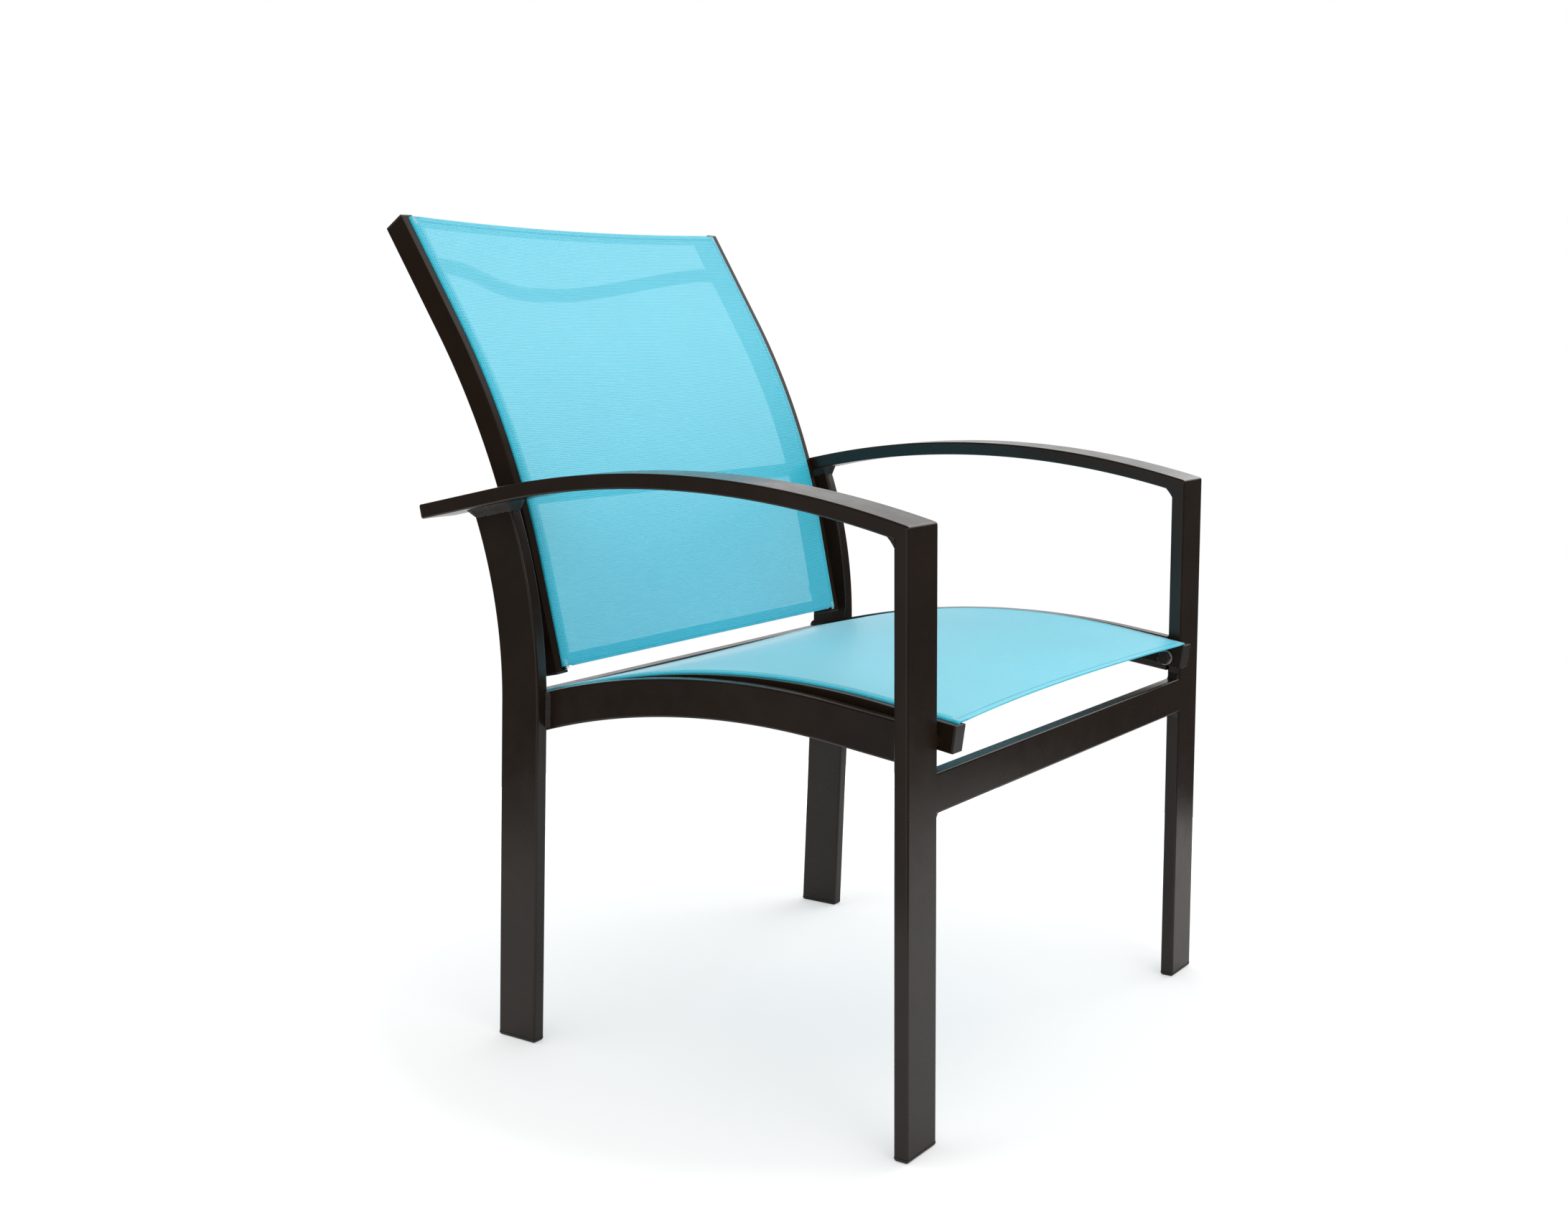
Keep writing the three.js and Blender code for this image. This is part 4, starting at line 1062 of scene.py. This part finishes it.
# %% [markdown]
# ## Washers
# Under each seat bolt's head lies a bright zinc washer. A punched washer has soft edges, and they catch the
# light as a thin ring. Its small section is swept once round the bolt, which gives that ring and a true
# round hole.

# %% Punched washers
WASHER_RADIUS, WASHER_HOLE = 8.4 * MM, 4.3 * MM
WASHER_EDGE = 0.35 * MM
WASHER_STEPS = 40


def washer_ring(low, high, angle):
    """One cross-section of a washer whose hole runs along x."""
    y, z = (low.y + high.y) / 2, (low.z + high.z) / 2
    profile = rounded_box(low.x, WASHER_HOLE, high.x, WASHER_RADIUS, WASHER_EDGE)
    return [Vector((x, y + r * math.cos(angle), z + r * math.sin(angle))) for x, r in profile]


for end in ("front", "rear"):
    low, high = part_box("left_seat_washer_" + end)
    rings = [washer_ring(low, high, math.tau * k / WASHER_STEPS) for k in range(WASHER_STEPS)]
    both_sides("seat_washer_" + end, rings, washer_metal, looped=True)
print("washers", 2 * WASHER_RADIUS / MM, "mm across")

# %% [markdown]
# ## Weld beads
# Where two tubes meet in a corner, the welder lays a bead: a slightly hollow fillet with fine ripples
# across it and an uneven toe. The powder coat covers it. Its coat here is a little lighter and greyer than
# the frame's, and that is a painted sheen. A row of small balls joined by a remesh gives ripples too, but a
# lumpy toe. Here each bead is swept along its corner: at every station a small curved section reaches a
# little way along both faces, and its size wanders with a noise that has a fixed seed.

# %% One section of a bead
RIPPLE_PITCH = 2.4 * MM
BEAD_STEPS = 7
BEAD_HOLLOW = 1.25
SINK = 0.4 * MM
WANDER_LENGTH = 7 * MM
OTHER_NOISE = 5
WANDER_SHARE, TOE_SHARE, RIPPLE_SHARE = 0.22, 0.15, 0.05


def bead_ring(corner, first, second, sizes, travelled, seed):
    """A fillet's section at one station: along two faces from their corner."""
    wander = noise.noise(Vector((travelled / WANDER_LENGTH, seed, 0)))
    uneven = noise.noise(Vector((travelled / WANDER_LENGTH, seed, OTHER_NOISE)))
    ripple = abs(math.sin(math.pi * travelled / RIPPLE_PITCH))
    reach = (sizes[0] * (1 + WANDER_SHARE * wander + RIPPLE_SHARE * ripple),
             sizes[1] * (1 + TOE_SHARE * uneven))
    ring = [corner - (first + second) * SINK]
    for k in range(BEAD_STEPS + 1):
        t = k / BEAD_STEPS
        swell = RIPPLE_SHARE * ripple * math.sin(math.pi * t) * reach[0]
        sunk = [SINK if k == BEAD_STEPS else 0, SINK if k == 0 else 0]
        ring.append(corner + first * (reach[0] * (1 - t) ** BEAD_HOLLOW + swell - sunk[0])
                    + second * (reach[1] * t ** BEAD_HOLLOW + swell - sunk[1]))
    return ring


# %% A whole bead
STATION_PITCH = 0.6 * MM


def lay_bead(name, stations, seed, looped=False, sides=tuple(SIDES)):
    """A bead along stations of (corner, direction along one face, along the other, two sizes)."""
    rings, travelled = [], 0.0
    for k, (corner, first, second, sizes) in enumerate(stations):
        travelled += (corner - stations[k - 1][0]).length if k else 0.0
        rings.append(bead_ring(corner, first, second, sizes, travelled, seed))
    for side in sides:
        mesh = bmesh.new()
        skin(mesh, on_side(rings, side), looped)
        finished(side + "_" + name, mesh, weld_coat_painted_sheen)
    print(name, round(travelled, 3), "m long")


def evenly(points, pitch):
    """Points at even distances round a closed outline, each with its outward direction."""
    total, spaced = 0.0, []
    for (ax, ay), (bx, by) in zip(points, points[1:] + points[:1]):
        length = math.hypot(bx - ax, by - ay)
        while total < length:
            share = total / length
            normal = ((by - ay) / length, (ax - bx) / length)
            spaced.append(((ax + (bx - ax) * share, ay + (by - ay) * share), normal))
            total += pitch
        total -= length
    return spaced


# %% [markdown]
# The arm's joints carry the sitter's weight, so their beads are the largest: all round the rear leg's top,
# and across the inside of the mitre.

# %% Beads at the arm
BEAD_LARGE, BEAD_MITRE, BEAD_SMALL = 9.5 * MM, 7.5 * MM, 5 * MM
SPREAD_SHARE = 0.8


def rear_leg_top():
    """All round the rear leg's end, against the arm's underside."""
    stations = []
    for line, (nx, ny) in evenly(leg_section, STATION_PITCH):
        s = under_arm(line)
        corner = rear_leg_run.at(*line, s)
        down = -rear_leg_profile.at(s)[2]
        _, under, _ = arm_profile.at(arm_profile.length)
        away = rear_leg_run.at(line[0] + nx * NUDGE, line[1] + ny * NUDGE, s) - corner
        away = (away - under * away.dot(under)).normalized()
        stations.append((corner, down, away, (BEAD_LARGE, BEAD_LARGE * SPREAD_SHARE)))
    return stations


def inner_mitre():
    """Across the inside of the corner between arm and front leg."""
    along_underside = Vector((0, 1, ARM_CREST[0] / ARM_RADIUS)).normalized()
    stations = []
    count = int((BROAD - TUBE_CORNER) / STATION_PITCH)
    for k in range(count + 1):
        x = chair_half - TUBE_CORNER / 2 - (BROAD - TUBE_CORNER) * k / count
        corner = Vector((x, legs_front + TUBE, arm_under_front))
        stations.append((corner, down_leg, along_underside, (BEAD_MITRE, BEAD_MITRE)))
    return stations


lay_bead("rear_leg_top_weld", rear_leg_top(), 1, looped=True)
lay_bead("inner_mitre_weld", inner_mitre(), 2)

# %% [markdown]
# The apron is flush with the legs' faces in front and behind, and there its bead is ground away. It stands
# up only above and below the tube. The crossbar's bead goes all round.

# %% Beads at the apron and the crossbar
LEAST_SHARE, OPEN_SHARE = 0.1, 0.8
CLIMB_REACH = 1.3
FLUSH_SINK = 2 * MM


def cross_tube_end(outline, x, size, flush):
    """All round a cross tube's end. Where its face is flush with the leg's, the bead is ground away."""
    stations = []
    for (y, z), (ny, nz) in evenly(outline, STATION_PITCH):
        share = max(nz * nz, LEAST_SHARE) if flush else OPEN_SHARE
        sunk = ny * FLUSH_SINK * (1 - nz * nz) if flush else 0
        climb = Vector((0, 0, math.copysign(1, nz))) if flush else Vector((0, ny, nz))
        sizes = (size * share, size * CLIMB_REACH * share)
        stations.append((Vector((x, y - sunk, z)), Vector((-1, 0, 0)), climb, sizes))
    return stations


apron_end = cross_tube_end(apron_outline, arm_inner, BEAD_SMALL, flush=True)
crossbar_end = cross_tube_end(crossbar_outline, leg_inner, BEAD_SMALL, flush=False)
lay_bead("apron_end_weld", apron_end, 3, looped=True)
lay_bead("crossbar_end_weld", crossbar_end, 4, looped=True)

# %% [markdown]
# A side rail has one short upright bead at each leg, in the corner beside its outer face.

# %% Beads at the side rails
BEAD_REAR = 4 * MM
BELOW_RAIL_TOP, ABOVE_RAIL_FOOT = MM, 2 * MM
REAR_WELD_HEIGHT = 380 * MM
outward, forward, rearward = Vector((1, 0, 0)), Vector((0, -1, 0)), Vector((0, 1, 0))


def rear_leg_front_edge(z):
    """How far back the rear leg's front face stands at a height."""
    s = crossing(rear_leg_run, (TUBE / 2, 0), lambda point: point.z - z, 0, rear_leg_run.length)
    return rear_leg_run.at(TUBE / 2, 0, s).y


def side_rail_bead(name, side, x, y_at, reached_at, along, size, seed):
    """A short bead that climbs beside a side rail's end, where its top is at a distance back."""
    run = side_rail_runs[side]
    s = crossing(run, (0, 0), lambda point: point.y - reached_at, 0, run.length)
    high = run.at(0, 0, s).z - BELOW_RAIL_TOP
    low = high - RAIL_TUBE + ABOVE_RAIL_FOOT
    count = int((high - low) / STATION_PITCH)
    levels = [low + (high - low) * k / count for k in range(count + 1)]
    stations = [(Vector((x, y_at(z), z)), outward, along, (size, size)) for z in levels]
    lay_bead(name, stations, seed, sides=[side])


leg_back = legs_front + TUBE
for side in SIDES:
    side_rail_bead("side_rail_front_weld", side, side_rail_outer, lambda z: leg_back, leg_back, rearward,
                   BEAD_SMALL, 5)
    side_rail_bead("side_rail_rear_weld", side, leg_inner - GAP, rear_leg_front_edge,
                   rear_leg_front_edge(REAR_WELD_HEIGHT), forward, BEAD_REAR, 6)

# %% [markdown]
# ## Slings
# Each sling is one cut of cloth. Its side edges turn down into the rails' grooves, go round the splines and
# come back under the cloth as a pocket flap. Between the rails it hangs a little slack, most of all at its
# middle. The seat's front edge is hollowed, and the back's lower edge stops a little short of its rails. A
# simulation could drop the cloth between the rails. But it is stretched by hand before it can sag, so it is
# laid out point by point along the rails, which keeps its flat size true.

# %% The cloth's section at a rail
CLOTH = 0.9 * MM
POCKET_RADIUS = 2.75 * MM
NECK_HALF = 0.47 * MM
LIP_BEND = 0.9 * MM
FLAP_REACH = 23 * MM
FLAP_LEVEL = GAP + 0.5 * CLOTH
TOP_LEVEL = GAP + 1.5 * CLOTH
FLAP_STEPS, DIVE_STEPS, WRAP_STEPS, RISE_STEPS, INNER_STEPS = 6, 3, 18, 4, 3
WRAP_FROM, WRAP_TO = 80, -260


def pocket_line():
    """The cloth at a rail: flap, slot, round the spline, slot, and over the lip to the inner edge."""
    into, out_of = GROOVE_CENTRE + NECK_HALF, GROOVE_CENTRE - NECK_HALF
    bend_end = into + LIP_BEND
    flap = [(FLAP_REACH + (bend_end - FLAP_REACH) * i / FLAP_STEPS, FLAP_LEVEL) for i in range(FLAP_STEPS)]
    dive = arc_points((bend_end, FLAP_LEVEL - LIP_BEND), LIP_BEND, 90, 180, DIVE_STEPS)
    wrap = arc_points((GROOVE_CENTRE, -BORE_DEPTH), POCKET_RADIUS, WRAP_FROM, WRAP_TO, WRAP_STEPS)
    reach = TOP_LEVEL - FLAP_LEVEL + LIP_BEND
    rise = arc_points((out_of + reach, TOP_LEVEL - reach), reach, 180, 90, RISE_STEPS)
    start = out_of + reach
    inner = [(start + (RAIL_WIDTH - start) * i / INNER_STEPS, TOP_LEVEL) for i in range(1, INNER_STEPS + 1)]
    return flap + dive + wrap + rise + inner


print("pocket section of", len(pocket_line()), "points")


# %% Where each sling lies
class Sling:
    """Where a sling's cloth lies between its rails.

    slack is how far its middle hangs at its first end, halfway and at its last end, hollow how far its first
    edge is cut back in the middle, and short how far that edge stops short of the rails' ends.
    """

    def __init__(self, run, slack, hollow, short):
        self.run, self.slack, self.hollow, self.short, self.length = run, slack, hollow, short, run.length

    def between(self, across, height, s):
        """A point between the rails: across runs from -1 at the right rail to 1 at the left one."""
        dip = 1 - across ** 2
        share = s / self.length
        first, belly, last = self.slack
        drop = first + (last - first) * share + (4 * belly - 2 * first - 2 * last) * share * (1 - share)
        start = self.hollow * dip
        point = self.run.at(RAIL_WIDTH, height - drop * dip, start + share * (self.length - start))
        point.x *= across
        return point

    def up(self, s):
        return self.run.profile.at(s)[1]


slings = {
    "seat": Sling(seat_run, slack=(6 * MM, 9 * MM, 3 * MM), hollow=19 * MM, short=0),
    "back": Sling(back_run, slack=(0, 9 * MM, 9 * MM), hollow=0, short=3 * MM),
}
for name, sling in slings.items():
    print(name, "sling", round(sling.length - sling.short, 4), "m along its rails")

# %% [markdown]
# The hem is the same cloth, folded under at each end: half a turn round a tight fold, then a strip that
# lies below. It is made between the rails, where it shows, from the edge row of the main cloth, so the two
# can't come apart.

# %% The hem's path
HEM = 13 * MM
FOLD = CLOTH / 2 + 0.05 * MM
FOLD_STEPS, HEM_STEPS = 5, 4


def hem_path():
    """The fold and the strip under it, as (in from the edge, below the top level, cloth used) steps."""
    steps = []
    for k in range(1, FOLD_STEPS + 1):
        turn = math.pi * k / FOLD_STEPS
        steps.append((FOLD - FOLD * math.sin(turn), FOLD - FOLD * math.cos(turn), FOLD * turn))
    for k in range(1, HEM_STEPS + 1):
        run_in = (HEM - FOLD) * k / HEM_STEPS
        steps.append((FOLD + run_in, 2 * FOLD, math.pi * FOLD + run_in))
    return steps


print("a hem takes", round(hem_path()[-1][2] / MM, 1), "mm of cloth")

# %% Rows of cloth
CLOTH_ROWS, CLOTH_COLUMNS = 180, 72


def running_lengths(points):
    """How far along a line each of its points lies."""
    total, lengths = 0.0, [0.0]
    for a, b in zip(points, points[1:]):
        total += (b - a).length
        lengths.append(total)
    return lengths


def cloth_row(sling, s):
    """One row of the cloth, from the right flap round the groove, across, and into the left groove."""
    left = [sling.run.at(inward, height, s) for inward, height in pocket_line()]
    right = [Vector((-p.x, p.y, p.z)) for p in left]
    span = [sling.between(2 * i / CLOTH_COLUMNS - 1, TOP_LEVEL, s) for i in range(1, CLOTH_COLUMNS)]
    points = right + span + left[::-1]
    lengths = running_lengths(points)
    return [(p, (u - lengths[-1] / 2, s)) for p, u in zip(points, lengths)]


def hem_rows(mesh, sling, edge_row, at_end):
    """Rows of the hem, from the cloth's edge row round the fold and under."""
    pocket = len(pocket_line())
    middle = edge_row[pocket:-pocket]
    rows = [middle]
    for inward, below, used in hem_path():
        s = sling.length - inward if at_end else sling.short + inward
        row = []
        for i, (_, (u, v)) in enumerate(middle, 1):
            point = sling.between(2 * i / CLOTH_COLUMNS - 1, TOP_LEVEL - below, s)
            row.append((mesh.verts.new(point), (u, v + used if at_end else v - used)))
        rows.append(row)
    return rows


# %% A whole sling and its flat size
def lay(mesh, layer, rows):
    """Join rows of (vertex, flat place) into faces that carry their flat places."""
    for low, high in zip(rows, rows[1:]):
        for corners in zip(low, low[1:], high[1:], high):
            face = mesh.faces.new([vert for vert, _ in corners])
            face.smooth = True
            for loop, (_, flat) in zip(face.loops, corners):
                loop[layer].uv = flat


def make_sling(name, sling):
    """One cut of cloth with its hems; gives the piece, its rows and its hems' rows."""
    mesh = bmesh.new()
    layer = mesh.loops.layers.uv.new("cut")
    span = sling.length - sling.short - 2 * FOLD
    places = [sling.short + FOLD + span * j / CLOTH_ROWS for j in range(CLOTH_ROWS + 1)]
    rows = [[(mesh.verts.new(p), flat) for p, flat in cloth_row(sling, s)] for s in places]
    hems = [hem_rows(mesh, sling, rows[0], False), hem_rows(mesh, sling, rows[-1], True)]
    for sheet in [rows] + hems:
        lay(mesh, layer, sheet)
    bmesh.ops.recalc_face_normals(mesh, faces=mesh.faces)
    piece = as_piece(name + "_cloth", mesh, cloth_looks[name], [name + "_sling"])
    solid = piece.modifiers.new("thickness", "SOLIDIFY")
    solid.thickness = CLOTH
    solid.offset = 0
    return piece, rows, hems


# %% [markdown]
# ## Stitching
# A hem and both pocket edges are sewn with a lockstitch: on top of the cloth each stitch is a short thread
# that rises from one needle hole and dips into the next. Two rows hold each pocket. The hem's ends are
# barred with a short zigzag that takes the strain. A drawn line of dashes would look painted on, so each
# stitch is a small tapered thread, and the stitches of one sling are one mesh.

# %% One stitch
STITCH_PITCH, STITCH_LENGTH, THREAD_RADIUS = 3.2 * MM, 2.7 * MM, 0.28 * MM
THREAD_SIDES = 6
# Each step: share of the length, share of the thickness, rise in thread radii
THREAD_SHAPE = ((0, 0.35, -0.9), (0.12, 0.85, 0.0), (0.5, 1.0, 0.35), (0.88, 0.85, 0.0), (1, 0.35, -0.9))


def add_stitch(mesh, start, end, up):
    """One thread between two needle holes, standing a little proud of the cloth between them."""
    side = (end - start).normalized().cross(up).normalized()
    rings = []
    for share, thick, lift in THREAD_SHAPE:
        centre = start.lerp(end, share) + up * (THREAD_RADIUS * lift)
        rings.append(circle(centre, side, up, THREAD_RADIUS * thick, THREAD_SIDES))
    skin(mesh, rings)


def sew(mesh, place, length):
    """A straight row of stitches. place gives a point on the cloth and its upward direction."""
    for k in range(int(length / STITCH_PITCH)):
        start, up = place(k * STITCH_PITCH)
        end, _ = place(k * STITCH_PITCH + STITCH_LENGTH)
        add_stitch(mesh, start, end, up)


# %% Rows and bars of stitches
HEM_LINE = 6 * MM
POCKET_ROWS = (13.8 * MM, 16.8 * MM)
ROW_INSET = MM
TACK_SPAN, TACK_TURNS = 9 * MM, 9
TACK_SIDES = (POCKET_ROWS[1] + MM, POCKET_ROWS[0] - 2 * MM)
CLOTH_TOP = TOP_LEVEL + CLOTH / 2


def beside_pocket(sling, side, inward, s):
    """A place on top of the cloth, near a rail."""
    point = sling.run.at(inward, CLOTH_TOP, s)
    return Vector((SIDES[side] * point.x, point.y, point.z))


def sew_hem(mesh, sling, s):
    """A row across the sling, along a hem."""
    length = 2 * sling.run.at(RAIL_WIDTH, 0, s).x
    sew(mesh, lambda distance: (sling.between(2 * distance / length - 1, CLOTH_TOP, s), sling.up(s)), length)


def sew_pocket(mesh, sling, inward, side):
    """A row along the sling, beside a pocket."""
    def place(distance):
        return beside_pocket(sling, side, inward, distance + ROW_INSET), sling.up(distance)

    sew(mesh, place, sling.length - 2 * ROW_INSET)


def tack(mesh, sling, side, at_end):
    """A bar of zigzag over the hem's end."""
    def place(turn):
        along = ROW_INSET + TACK_SPAN * turn / TACK_TURNS
        s = sling.length - along if at_end else along
        return beside_pocket(sling, side, TACK_SIDES[turn % 2], s), sling.up(s)

    for turn in range(TACK_TURNS):
        start, up = place(turn)
        add_stitch(mesh, start, place(turn + 1)[0], up)


# %% Sew both slings
def make_stitching(name, sling):
    rows, tacks = bmesh.new(), bmesh.new()
    for s in (HEM_LINE, sling.length - HEM_LINE):
        sew_hem(rows, sling, s)
    for side in SIDES:
        for inward in POCKET_ROWS:
            sew_pocket(rows, sling, inward, side)
        for at_end in (False, True):
            tack(tacks, sling, side, at_end)
    return [finished(name + "_stitches", rows, thread),
            finished(name + "_tacks", tacks, tack_thread)]


for name, sling in slings.items():
    piece, rows, hems = make_sling(name, sling)
    threads = make_stitching(name, sling)
